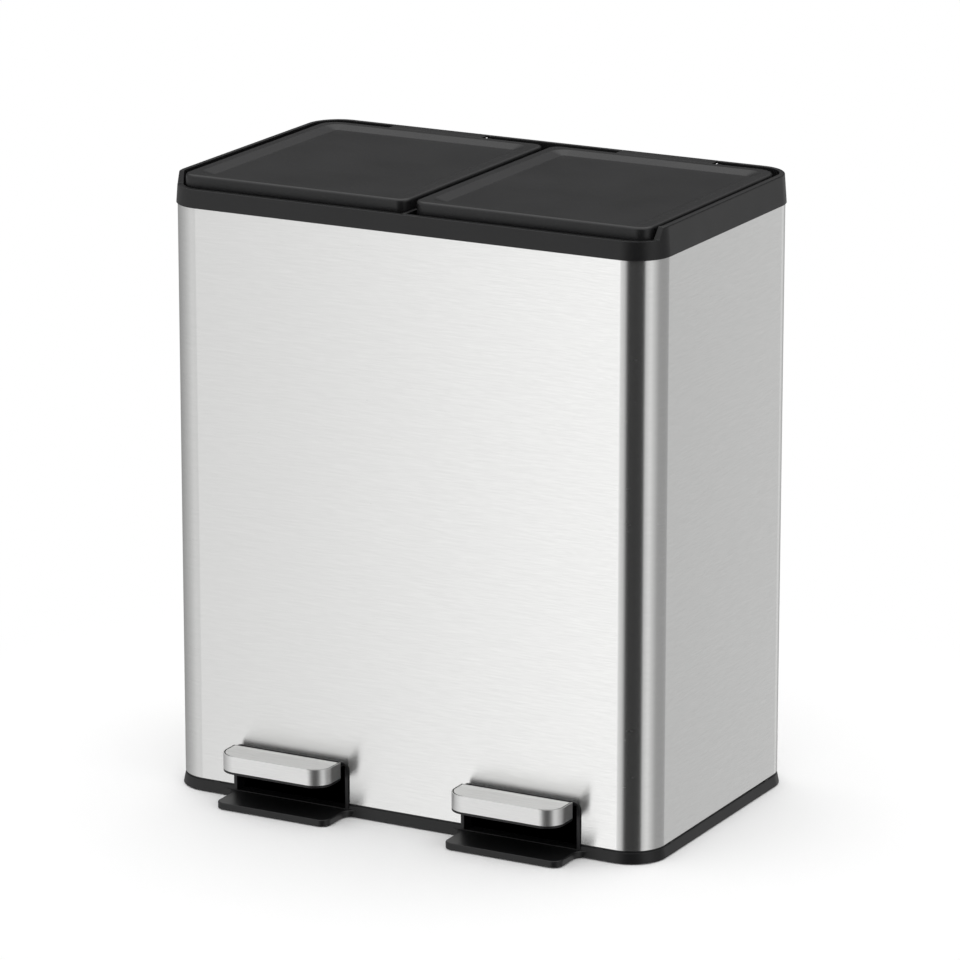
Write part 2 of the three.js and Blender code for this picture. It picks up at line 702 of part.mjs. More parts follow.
/** Steel cap: a band round the front and ends, and a plate over the top, folded from the band's front. */
function pedalCap() {
  const band = cut(prism(pedalOutline(0), pedalCapBottom, pedalTop),
    prism(pedalOutline(pedalCapSheet, pedalRear + past), pedalCapBottom - past, pedalTop + past));
  const plate = prism(pedalOutline(pedalCapSheet + pedalSlot, pedalRear - pedalRearRib),
    pedalTop - pedalCapSheet, pedalTop);
  const fold = box([sideCentre - pedalStraight, pedalFront + pedalCapSheet / 2, pedalTop - pedalCapSheet],
    [sideCentre + pedalStraight, pedalFront + pedalCorner, pedalTop]);
  return join(band, plate, fold);
}

/** Where each of the two screws through the lever stands, along Y. */
const screwY = (i) => (pedalFront + pedalRear) / 2 + (i - 0.5) * screwSpacing;

/** Black pedal body under the cap, hollow below and open behind for the lever. */
function pedalBody() {
  const lip = prism(pedalOutline(pedalLipInset), pedalBottom, pedalCapBottom - fit);
  const core = prism(pedalOutline(pedalCapSheet + fit), pedalBottom, pedalTop - fit);
  const seat = pedalTop - pedalCapSheet - fit;
  const plateSeat = prism(pedalOutline(pedalCapSheet + pedalSlot - fit, pedalRear - pedalRearRib + fit),
    seat, pedalTop);
  const foldSeat = box([sideCentre - pedalStraight - fit, pedalFront, seat],
    [sideCentre + pedalStraight + fit, pedalFront + pedalCorner, pedalTop]);
  const leverRoom = prism(pedalOutline(pedalWall, pedalRear + past), pedalBottom - past, leverTop + fit);
  const cell = prism(roundedRectangle([sideCentre + leverHalfWidth + pedalWall, pedalFront + pedalWall],
    [sideCentre + pedalHalfWidth - pedalWall, pedalRear - pedalWall], [0, pedalCorner - pedalWall, 0, 0]),
    leverTop, pedalTop - pedalWall);
  const screwBores = [0, 1].map((i) => roundAlongZ(sideCentre, screwY(i), screwShank + runningFit,
    leverTop, leverTop + screwLength));
  return cut(join(lip, core), plateSeat, foldSeat, leverRoom, mirrored(cell, sideCentre), ...screwBores);
}

/** Pan-head screw that holds the pedal body down on the lever, put in from below. */
function pedalScrew(i) {
  const top = leverTop - leverPlate - fit;
  const bottom = top - screwHeadHeight;
  const tip = top + leverPlate + screwLength - screwTip;
  return turned(sideCentre, screwY(i), [
    [0, bottom], [screwHead - screwHeadBevel, bottom], [screwHead, bottom + screwHeadBevel], [screwHead, top],
    [screwShank, top], [screwShank, tip - screwTip], [0, tip],
  ], 12);
}

/** The lever's side view, in Y and Z, lowered by an amount: deepest at the axle, shallow at both ends. */
function leverOutline(lowered = 0) {
  const tip = pedalFront + pedalWall + swingGap;
  const end = rodY + leverEndReach;
  return roundedPolygon([
    [tip, leverTop - leverTipDepth, 3],
    [frontFace, leverTop - leverMouthDepth, 30],
    [leverPivotY, leverPivotHeight - leverPivotDepth, 60],
    [end, rodBottom - leverEndDepth, 5],
    [end, rodBottom + leverEndDepth, 5],
    [leverPivotY, leverPivotHeight + leverPivotDepth, 200],
    [frontFace, leverTop, 60],
    [tip, leverTop],
  ].map(([y, z, radius]) => [y, z - lowered, radius]));
}

/** Painted steel lever: a channel from the pedal, over the axle, to the push rod at the rear. */
function pedalLever() {
  const options = { curveSegments: 3 };
  const outerFace = sideCentre + leverHalfWidth;
  const [innerSide, outerSide] = [sideCentre - bracketFrom, sideCentre + bracketFrom];
  const flange = barAlong(leverOutline(), outerFace - leverPlate, outerFace, options);
  const web = cut(barAlong(leverOutline(), sideCentre - leverHalfWidth, outerFace, options),
    barAlong(leverOutline(leverPlate), innerSide, outerSide, options),
    box([innerSide, rodY - 2 * leverPivotDepth, 0], [outerSide, rearFace, deckTop]));
  const axleHole = roundAlongX(leverPivotY, leverPivotHeight, axleRadius + runningFit, innerSide, outerSide);
  const rodEye = roundAlongX(rodY, rodBottom, rodRadius + rodSlack, sideCentre, outerSide);
  const screwHoles = [0, 1].map((i) => roundAlongZ(sideCentre, screwY(i), screwShank + 2 * runningFit,
    leverTop - leverTipDepth, leverTop + past));
  return cut(join(mirrored(flange, sideCentre), web), axleHole, rodEye, ...screwHoles);
}

/** Steel axle that the lever turns on, held in the base's ears. */
function leverAxle() {
  return roundAlongX(leverPivotY, leverPivotHeight, axleRadius, sideCentre - axleHalf, sideCentre + axleHalf);
}

/** Push-on retainer at one end of the axle: -1 for the bin's middle, 1 for its outside. */
function axleRetainer(side) {
  const near = sideCentre + side * retainerFrom;
  const far = near + side * retainerThickness;
  const [low, high] = side > 0 ? [near, far] : [far, near];
  return cut(roundAlongX(leverPivotY, leverPivotHeight, retainerRadius, low, high),
    roundAlongX(leverPivotY, leverPivotHeight, axleRadius + runningFit, low - past, high + past));
}

/** A bend in the rod's wire, from its upright stretch to a level end: up is 1 at the rod's bottom. */
function rodElbow(z, up) {
  const section = new THREE.Shape();
  section.absarc(0, 0, rodRadius, 0, 2 * Math.PI);
  const extrudePath = new THREE.QuadraticBezierCurve3(
    new THREE.Vector3(rodX + rodBend, rodY, z),
    new THREE.Vector3(rodX, rodY, z),
    new THREE.Vector3(rodX, rodY, z + up * rodBend));
  return solid(new THREE.ExtrudeGeometry(section, { extrudePath, steps: 5, curveSegments: 6 }));
}

/** Push rod: one steel wire, bent at the top into the lid's crank and at the bottom into the lever's eye. */
function pushRod() {
  const level = (z, end) => roundAlongX(rodY, z, rodRadius, rodX + rodBend - fit, end, 12);
  return join(
    roundAlongZ(rodX, rodY, rodRadius, rodBottom + rodBend - fit, rodTop - rodBend + fit),
    rodElbow(rodBottom, 1),
    rodElbow(rodTop, -1),
    level(rodBottom, sideCentre + leverHalfWidth + rodEndReach),
    level(rodTop, sideCentre + crankPlate / 2 + rodEndReach));
}

// ---------------------------------------------------------------------------------------------
// Buckets
// ---------------------------------------------------------------------------------------------

/** Lift-out bucket: drafted walls, a flange that laps the frame's ledge, and two hand grips. */
function bucket() {
  const inset = bucketFlangeLap + bucketLedgeGap;
  const low = [bucketInner + inset, bucketFront + inset];
  const high = [bucketOuter - inset, bucketRear - inset];
  const corner = bucketCorner - inset;
  const [bottom, top] = [deckTop + fit, bucketFlangeTop];
  const flange = prism(roundedRectangle([bucketInner, bucketFront], [bucketOuter, bucketRear], bucketCorner),
    top - bucketFlangeThickness, top, 4);
  const outside = draftedBlock(low, high, corner, [bottom, -bucketDraft],
    [top - bucketFlangeThickness / 2, 0], 4);
  const inside = draftedBlock(low, high, corner, [bottom + bucketFloor, -bucketDraft - bucketWall],
    [top + past, -bucketWall], 4);
  const middle = (bucketInner + bucketOuter) / 2;
  const grips = barAcross(roundedRectangle([middle - gripWidth / 2, gripTop - gripHeight],
    [middle + gripWidth / 2, gripTop], gripCorner), frontFace, rearFace);
  return cut(join(flange, outside), inside, grips);
}

// ---------------------------------------------------------------------------------------------
// The bin
// ---------------------------------------------------------------------------------------------

/** A named mesh of a solid, with its own origin at the given point of the bin. */
function piece(name, made, material, origin = [0, 0, 0]) {
  const geometry = geometryOf(made).translate(...origin.map((v) => -v));
  geometry.computeVertexNormals();
  const mesh = new THREE.Mesh(geometry, material);
  mesh.name = name;
  return mesh;
}

/** A group at a point of the bin, such as a pivot, that holds the pieces which move together. */
function assembly(origin, pieces) {
  const group = new THREE.Group();
  group.position.set(...origin);
  pieces.forEach(([name, made, material]) => group.add(piece(name, made, material, origin)));
  return group;
}

/** All the pieces of one half, modelled on the right. */
function half(label) {
  const group = new THREE.Group();
  group.add(assembly([sideCentre, hingeY, hingeZ], [
    [`lid_${label}`, lid(), lidPlastic],
    [`lid_liner_${label}`, lidLiner(), lidPlastic],
  ]));
  group.add(assembly([sideCentre, leverPivotY, leverPivotHeight], [
    [`pedal_lever_${label}`, pedalLever(), paintedSteel],
    [`pedal_body_${label}`, pedalBody(), blackPlastic],
    [`pedal_cap_${label}`, pedalCap(), brushedSteel],
    [`pedal_screw_front_${label}`, pedalScrew(0), zincSteel],
    [`pedal_screw_rear_${label}`, pedalScrew(1), zincSteel],
  ]));
  group.add(assembly([rodX, rodY, 0], [[`push_rod_${label}`, pushRod(), zincSteel]]));
  group.add(assembly([sideCentre, 0, deckTop], [[`bucket_${label}`, bucket(), bucketPlastic]]));
  group.add(piece(`hinge_pin_${label}`, hingePin(), zincSteel));
  group.add(piece(`lid_damper_${label}`, lidDamper(), damperPlastic));
  group.add(piece(`lid_buffer_inner_${label}`, lidBuffer(-1), blackRubber));
  group.add(piece(`lid_buffer_outer_${label}`, lidBuffer(1), blackRubber));
  group.add(piece(`rod_cover_${label}`, rodCover(), blackPlastic));
  group.add(piece(`lever_axle_${label}`, leverAxle(), zincSteel));
  group.add(piece(`axle_retainer_inner_${label}`, axleRetainer(-1), zincSteel));
  group.add(piece(`axle_retainer_outer_${label}`, axleRetainer(1), zincSteel));
  group.add(piece(`foot_front_${label}`, foot(-footY), blackRubber));
  group.add(piece(`foot_rear_${label}`, foot(footY), blackRubber));
  return group;
}

const bin = new THREE.Group();
bin.add(piece('base', base(), blackPlastic));
bin.add(piece('outer_shell', outerShell(), brushedSteel));
bin.add(piece('top_frame', topFrame(), blackPlastic));

const leftHalf = half('left');
leftHalf.scale.x = -1;
bin.add(half('right'), leftHalf);

/** The pedals and foot plates stand out in front, so the footprint's centre lies in front of the body's. */
bin.position.y = (Math.max(footPlateReach, pedalFrontReach) - ringFlare) / 2;

export default new THREE.Group().add(bin);
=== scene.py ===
"""Double pedal recycling bin: brushed steel body, black mouldings, two sunken lids, two steel pedals.

All modelling sizes are millimetres about the centre of the body's plan, with the floor at z = 0,
the front at -Y and the viewer's right at +X. The bench turns them into the frame's metres.
"""
import logging
import math
from dataclasses import dataclass, field
from enum import Enum
from typing import Any, Callable, Iterable, Sequence

import bmesh
import bpy
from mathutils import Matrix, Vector


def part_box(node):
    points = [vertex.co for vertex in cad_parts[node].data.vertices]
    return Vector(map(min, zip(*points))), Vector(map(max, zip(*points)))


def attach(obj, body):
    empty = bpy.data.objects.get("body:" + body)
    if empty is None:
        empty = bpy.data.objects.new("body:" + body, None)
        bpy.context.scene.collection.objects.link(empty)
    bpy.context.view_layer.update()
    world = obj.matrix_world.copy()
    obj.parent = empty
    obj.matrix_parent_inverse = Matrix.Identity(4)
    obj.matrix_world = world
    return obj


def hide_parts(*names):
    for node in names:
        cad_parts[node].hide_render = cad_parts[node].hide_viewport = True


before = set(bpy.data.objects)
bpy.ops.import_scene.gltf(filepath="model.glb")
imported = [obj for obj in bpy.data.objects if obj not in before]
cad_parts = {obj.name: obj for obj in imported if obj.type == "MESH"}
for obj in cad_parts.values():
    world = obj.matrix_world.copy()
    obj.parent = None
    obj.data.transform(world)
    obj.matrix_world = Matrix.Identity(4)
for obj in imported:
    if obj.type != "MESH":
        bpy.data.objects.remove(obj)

LOG = logging.getLogger("bin")
MM = 0.001
# Two places that are closer than this, in millimetres, count as the same.
NEAR = 0.01
# Points that are closer than this, in millimetres, are merged.
MERGE = 0.004
# An edge that is longer than this along a line, in millimetres, counts as running along it.
ALONG = 0.5
# How far a cutter reaches past the face that it opens, in millimetres.
PAST = 1.0
# A face is square to a line if its normal has more than this along it.
SQUARE = 0.9
Point = tuple[float, float, float]
Pair = tuple[float, float]
Test = Callable[[Vector, Vector], bool]


def body_centre_y() -> float:
    """The body's centre along Y in the frame, in millimetres, taken from the steel sheet."""
    low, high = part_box("outer_shell")
    return (low[1] + high[1]) / 2 / MM


BODY_Y = body_centre_y()


class Side(Enum):
    """The two halves of the bin, with the sign of their X."""

    RIGHT = 1
    LEFT = -1

    @property
    def label(self) -> str:
        """The half's name as the node names have it."""
        return self.name.lower()


class Axis(Enum):
    """The line that a round bar lies along, with its turn from upright."""

    X = (0.0, math.pi / 2, 0.0)
    Z = (0.0, 0.0, 0.0)


# ------------------------------------------------------------------------------------------------
# Modelling bench
# ------------------------------------------------------------------------------------------------


def to_frame(x: float, y: float, z: float) -> Vector:
    """A point of the body's plan in millimetres as a place in the frame, in metres."""
    return Vector((x, y + BODY_Y, z)) * MM


def from_frame(place: Vector) -> Vector:
    """A place in the frame as millimetres about the centre of the body's plan."""
    return Vector((place.x / MM, place.y / MM - BODY_Y, place.z / MM))


def take_only(piece: bpy.types.Object) -> None:
    """Deselects everything and makes one piece selected and active."""
    if bpy.context.object and bpy.context.object.mode != "OBJECT":
        bpy.ops.object.mode_set(mode="OBJECT")
    bpy.ops.object.select_all(action="DESELECT")
    piece.select_set(True)
    bpy.context.view_layer.objects.active = piece


def settle(piece: bpy.types.Object) -> bpy.types.Object:
    """Puts a piece's place, turn and size into its mesh."""
    take_only(piece)
    bpy.ops.object.transform_apply(location=True, rotation=True, scale=True)
    return piece


class Edit:
    """Edit mode on one piece, with nothing selected at the start, for use in a with statement."""

    def __init__(self, piece: bpy.types.Object) -> None:
        """Keeps the piece to work on."""
        self.piece = piece

    def __enter__(self) -> "Edit":
        """Opens edit mode and deselects everything."""
        take_only(self.piece)
        bpy.ops.object.mode_set(mode="EDIT")
        bpy.ops.mesh.select_mode(type="VERT")
        bpy.ops.mesh.select_all(action="DESELECT")
        return self

    def __exit__(self, *_: Any) -> None:
        """Goes back to object mode."""
        bpy.ops.object.mode_set(mode="OBJECT")

    def edges(self, test: Test) -> None:
        """Selects the edges whose two ends, in millimetres, pass a test."""
        bpy.ops.mesh.select_mode(type="EDGE")
        mesh = bmesh.from_edit_mesh(self.piece.data)
        for edge in mesh.edges:
            ends = [from_frame(v.co) for v in edge.verts]
            edge.select_set(test(*ends))
        bmesh.update_edit_mesh(self.piece.data)

    def faces(self, test: Test) -> None:
        """Selects the faces whose centre, in millimetres, and normal pass a test."""
        bpy.ops.mesh.select_mode(type="FACE")
        mesh = bmesh.from_edit_mesh(self.piece.data)
        mesh.normal_update()
        for face in mesh.faces:
            face.select_set(test(from_frame(face.calc_center_median()), face.normal))
        bmesh.update_edit_mesh(self.piece.data)

    @staticmethod
    def bevel(radius: float, segments: int) -> None:
        """Rounds the selected edges to a radius in millimetres."""
        bpy.ops.mesh.bevel(offset=radius * MM, segments=segments, affect="EDGES",
                           clamp_overlap=False)

    @staticmethod
    def turn_outwards() -> None:
        """Turns every face outwards."""
        bpy.ops.mesh.select_all(action="SELECT")
        bpy.ops.mesh.normals_make_consistent(inside=False)


def level_at(height: float) -> Test:
    """A test for the edges that lie level at one height."""
    return lambda a, b: abs(a.z - height) < NEAR and abs(b.z - height) < NEAR


def block(name: str, low: Point, high: Point) -> bpy.types.Object:
    """A box between two corners.

    Args:
        name: The piece's name.
        low: The lowest corner.
        high: The highest corner.

    Returns:
        The new piece.
    """
    bpy.ops.object.select_all(action="DESELECT")
    middle = to_frame(*[(a + b) / 2 for a, b in zip(low, high)])
    bpy.ops.mesh.primitive_cube_add(size=1, location=middle)
    piece = bpy.context.object
    piece.name = piece.data.name = name
    piece.scale = [(b - a) * MM for a, b in zip(low, high)]
    return settle(piece)


def bar(name: str, axis: Axis, centre: Point, radius: float, length: float,
        sides: int = 32) -> bpy.types.Object:
    """A round bar about a centre.

    Args:
        name: The piece's name.
        axis: The line that it lies along.
        centre: The middle of the bar.
        radius: Its radius.
        length: Its length.
        sides: How many sides stand for the round.

    Returns:
        The new piece.
    """
    bpy.ops.object.select_all(action="DESELECT")
    bpy.ops.mesh.primitive_cylinder_add(vertices=sides, radius=radius * MM, depth=length * MM,
                                        location=to_frame(*centre), rotation=axis.value)
    piece = bpy.context.object
    piece.name = piece.data.name = name
    return settle(piece)


def round_uprights(piece: bpy.types.Object, radii: Sequence[float],
                   segments: int = 12) -> bpy.types.Object:
    """Rounds the four upright edges of a block.

    Args:
        piece: The block.
        radii: The radii of the front left, front right, rear right and rear left corners.
        segments: How many segments each corner gets.

    Returns:
        The same piece.
    """
    places = [from_frame(v.co) for v in piece.data.vertices]
    middle_x = (min(p.x for p in places) + max(p.x for p in places)) / 2
    middle_y = (min(p.y for p in places) + max(p.y for p in places)) / 2
    signs = [(-1, -1), (1, -1), (1, 1), (-1, 1)]
    for (sign_x, sign_y), radius in zip(signs, radii):
        if radius <= 0:
            continue
        with Edit(piece) as edit:
            edit.edges(lambda a, b: abs(a.z - b.z) > NEAR and abs(a.x - b.x) < NEAR
                       and abs(a.y - b.y) < NEAR and (a.x - middle_x) * sign_x > 0
                       and (a.y - middle_y) * sign_y > 0)
            edit.bevel(radius, segments)
    return piece


def round_loop(piece: bpy.types.Object, height: float, radius: float,
               segments: int = 4) -> bpy.types.Object:
    """Rounds every edge that lies level at one height.

    Args:
        piece: The piece to work on.
        height: The height of the edges.
        radius: The round's radius.
        segments: How many segments it gets.

    Returns:
        The same piece.
    """
    with Edit(piece) as edit:
        edit.edges(level_at(height))
        edit.bevel(radius, segments)
    return piece


def open_ends(piece: bpy.types.Object) -> None:
    """Takes a block's top and bottom faces away and leaves their edges."""
    with Edit(piece) as edit:
        edit.faces(lambda centre, normal: abs(normal.z) > SQUARE)
        bpy.ops.mesh.delete(type="ONLY_FACE")


def plate(name: str, low: Point, high: Point, radii: Sequence[float] | float,
          segments: int = 12) -> bpy.types.Object:
    """A block with rounded upright edges.

    Args:
        name: The piece's name.
        low: The lowest corner.
        high: The highest corner.
        radii: One radius, or those of the front left, front right, rear right and rear left corners.
        segments: How many segments each corner gets.

    Returns:
        The new piece.
    """
    four = [radii] * 4 if isinstance(radii, (int, float)) else radii
    return round_uprights(block(name, low, high), four, segments)


def drafted(name: str, low: Point, high: Point, radii: Sequence[float] | float, grow_low: float,
            grow_high: float, segments: int = 12) -> bpy.types.Object:
    """A block with rounded uprights whose sides lean, as a moulding's do.

    The corners keep their centres.

    Args:
        name: The piece's name.
        low: The lowest corner of the outline.
        high: The highest corner of the outline.
        radii: The corner radii of the outline.
        grow_low: How far the sides stand out from the outline at the bottom.
        grow_high: How far they stand out at the top.
        segments: How many segments each corner gets.

    Returns:
        The new piece.
    """
    piece = plate(name, low, high, radii, segments)
    open_ends(piece)
    with Edit(piece):
        bpy.ops.mesh.select_all(action="SELECT")
        bpy.ops.transform.shrink_fatten(value=grow_low * MM)
    with Edit(piece) as edit:
        edit.edges(level_at(high[2]))
        bpy.ops.transform.shrink_fatten(value=(grow_high - grow_low) * MM)
    for height in (low[2], high[2]):
        with Edit(piece) as edit:
            edit.edges(level_at(height))
            bpy.ops.mesh.edge_face_add()
    with Edit(piece) as edit:
        edit.turn_outwards()
    return piece


def rounded(corners: Sequence[tuple[float, ...]], segments: int = 8) -> list[Pair]:
    """An outline's points, with an arc at each corner that has a radius.

    Args:
        corners: The corners in order, each as (a, b) or (a, b, radius).
        segments: How many segments each arc gets.

    Returns:
        The points of the outline.
    """
    points: list[Pair] = []
    count = len(corners)
    for i, corner in enumerate(corners):
        here = Vector(corner[:2])
        radius = corner[2] if len(corner) > 2 else 0.0
        before = (Vector(corners[i - 1][:2]) - here).normalized()
        after = (Vector(corners[(i + 1) % count][:2]) - here).normalized()
        if radius <= 0:
            points.append((here.x, here.y))
            continue
        half = before.angle(after) / 2
        centre = here + (before + after).normalized() * radius / math.sin(half)
        start = here + before * radius / math.tan(half) - centre
        end = here + after * radius / math.tan(half) - centre
        turn = math.atan2(start.x * end.y - start.y * end.x, start.dot(end))
        for step in range(segments + 1):
            angle = math.atan2(start.y, start.x) + turn * step / segments
            points.append((centre.x + radius * math.cos(angle),
                           centre.y + radius * math.sin(angle)))
    return points


def extruded(name: str, points: Sequence[Pair], axis: Axis, start: float,
             end: float) -> bpy.types.Object:
    """A bar with any outline, along X from one in Y and Z, or along Z from one in X and Y.

    Args:
        name: The piece's name.
        points: The outline's points in order.
        axis: The line that the bar lies along.
        start: Where it starts on that line.
        end: Where it ends.

    Returns:
        The new piece.
    """
    bpy.ops.object.select_all(action="DESELECT")
    bpy.ops.mesh.primitive_circle_add(vertices=len(points), radius=MM, fill_type="NGON")
    piece = bpy.context.object
    piece.name = piece.data.name = name
    for vertex, (a, b) in zip(piece.data.vertices, points):
        vertex.co = to_frame(start, a, b) if axis is Axis.X else to_frame(a, b, start)
    along = Vector((1, 0, 0)) if axis is Axis.X else Vector((0, 0, 1))
    reach = {"value": along * (end - start) * MM}
    with Edit(piece) as edit:
        bpy.ops.mesh.select_all(action="SELECT")
        bpy.ops.mesh.extrude_region_move(TRANSFORM_OT_translate=reach)
        edit.turn_outwards()
    return piece


def boolean(piece: bpy.types.Object, others: Iterable[bpy.types.Object],
            operation: str) -> bpy.types.Object:
    """Joins or cuts a piece with others, which are used up.

    Args:
        piece: The piece to work on.
        others: The pieces to join to it or to cut out of it.
        operation: UNION or DIFFERENCE.

    Returns:
        The same piece.
    """
    for other in others:
        take_only(piece)
        modifier = piece.modifiers.new("Boolean", "BOOLEAN")
        modifier.operation = operation
        modifier.solver = "EXACT"
        modifier.object = other
        bpy.ops.object.modifier_apply(modifier=modifier.name)
        bpy.data.objects.remove(other, do_unlink=True)
    return piece


def join(piece: bpy.types.Object, *others: bpy.types.Object) -> bpy.types.Object:
    """A piece with others joined to it."""
    return boolean(piece, others, "UNION")


def cut(piece: bpy.types.Object, *others: bpy.types.Object) -> bpy.types.Object:
    """A piece with others cut out of it."""
    return boolean(piece, others, "DIFFERENCE")


def signed_volume(piece: bpy.types.Object) -> float:
    """A closed piece's volume, which is negative if the piece is inside out."""
    mesh = bmesh.new()
    mesh.from_mesh(piece.data)
    volume = mesh.calc_volume(signed=True)
    mesh.free()
    return volume


def copied(piece: bpy.types.Object, name: str) -> bpy.types.Object:
    """A copy of a piece, with a mesh of its own."""
    copy = piece.copy()
    copy.data = piece.data.copy()
    copy.name = copy.data.name = name
    bpy.context.scene.collection.objects.link(copy)
    return copy


def mirrored(piece: bpy.types.Object, name: str, plane_x: float = 0.0) -> bpy.types.Object:
    """A mirror image of a piece across a plane square to X, with its faces pointing outwards.

    Args:
        piece: The piece to copy.
        name: The copy's name.
        plane_x: Where the plane stands, in millimetres.

    Returns:
        The new piece.
    """
    image = copied(piece, name)
    take_only(image)
    bpy.ops.transform.mirror(constraint_axis=(True, False, False),
                             center_override=(plane_x * MM, 0, 0))
    settle(image)
    if signed_volume(image) < 0:
        with Edit(image):
            bpy.ops.mesh.select_all(action="SELECT")
            bpy.ops.mesh.flip_normals()
    return image


def both_ways(piece: bpy.types.Object, plane_x: float = 0.0) -> list[bpy.types.Object]:
    """A piece and its mirror image across a plane square to X."""
    return [piece, mirrored(piece, piece.name + "_image", plane_x)]


def soften(piece: bpy.types.Object, width: float, segments: int = 2, angle: float = 35,
           smooth: float = 40, large_face_weight: int = 80) -> bpy.types.Object:
    """Breaks a piece's sharp edges and smooths its shading, as the last step of its making.

    Args:
        piece: The piece to finish.
        width: The width of the broken edge.
        segments: How many segments it gets.
        angle: The angle in degrees past which an edge is broken.
        smooth: The angle in degrees up to which the shading runs on over an edge.
        large_face_weight: How far the large faces lead the shading; 50 is evenly.

    Returns:
        The same piece.
    """
    with Edit(piece):
        bpy.ops.mesh.select_all(action="SELECT")
        bpy.ops.mesh.remove_doubles(threshold=MERGE * MM)
    places = [v.co.copy() for v in piece.data.vertices]
    ends = [(min(p[i] for p in places), max(p[i] for p in places)) for i in range(3)]
    if width > 0:
        modifier = piece.modifiers.new("Bevel", "BEVEL")
        modifier.width = width * MM
        modifier.segments = segments
        modifier.limit_method = "ANGLE"
        modifier.angle_limit = math.radians(angle)
        modifier.use_clamp_overlap = False
        modifier.miter_outer = "MITER_ARC"
        bpy.ops.object.modifier_apply(modifier=modifier.name)
    for vertex in piece.data.vertices:
        vertex.co = [min(max(value, low), high) for value, (low, high) in zip(vertex.co, ends)]
    bpy.ops.object.shade_smooth_by_angle(angle=math.radians(smooth))
    weighted = piece.modifiers.new("WeightedNormal", "WEIGHTED_NORMAL")
    weighted.keep_sharp = True
    weighted.weight = large_face_weight
    bpy.ops.object.modifier_apply(modifier=weighted.name)
    return piece


# ------------------------------------------------------------------------------------------------
# Finishes
# ------------------------------------------------------------------------------------------------


def linear(colour: str, alpha: float = 1.0) -> tuple[float, float, float, float]:
    """An sRGB hex colour as linear values, by the standard's own curve.

    Args:
        colour: The colour, such as "#2b2b2c".
        alpha: The fourth value.

    Returns:
        Red, green, blue and alpha.
    """
    parts = [int(colour[i:i + 2], 16) / 255 for i in (1, 3, 5)]
    red, green, blue = [p / 12.92 if p <= 0.04045 else ((p + 0.055) / 1.055) ** 2.4 for p in parts]
    return red, green, blue, alpha


def node(tree: bpy.types.NodeTree, kind: str, inputs: dict[str | int, Any] | None = None,
         **settings: Any) -> bpy.types.Node:
    """Adds a node with its settings and its inputs.

    Args:
        tree: The node tree.
        kind: The node's type, such as "ShaderNodeTexNoise".
        inputs: For each input's name or number, a value or an output socket to link.
        settings: The node's own properties.

    Returns:
        The new node.
    """
    made = tree.nodes.new(kind)
    for key, value in settings.items():
        setattr(made, key, value)
    for key, value in (inputs or {}).items():
        if isinstance(value, bpy.types.NodeSocket):
            tree.links.new(value, made.inputs[key])
        else:
            made.inputs[key].default_value = value
    return made


def product(tree: bpy.types.NodeTree, first: Any, second: Any) -> bpy.types.NodeSocket:
    """The product of two values or sockets, as an output socket."""
    return node(tree, "ShaderNodeMath", {0: first, 1: second}, operation="MULTIPLY").outputs["Value"]


def rise(tree: bpy.types.NodeTree, value: bpy.types.NodeSocket, span: Pair,
         ends: Pair = (0.0, 1.0)) -> bpy.types.NodeSocket:
    """A value that goes smoothly from one level to another.

    Args:
        tree: The node tree.
        value: What leads it.
        span: Where the change starts and ends.
        ends: The levels before and after it.

    Returns:
        The output socket.
    """
    return node(tree, "ShaderNodeMapRange", {
        "Value": value, "From Min": span[0], "From Max": span[1], "To Min": ends[0],
        "To Max": ends[1]}, interpolation_type="SMOOTHSTEP").outputs["Result"]


def blend(tree: bpy.types.NodeTree, share: bpy.types.NodeSocket, first: Any,
          second: Any) -> bpy.types.NodeSocket:
    """A level between two others, led by the second one's share."""
    return node(tree, "ShaderNodeMix", {0: share, 2: first, 3: second}, data_type="FLOAT").outputs[0]


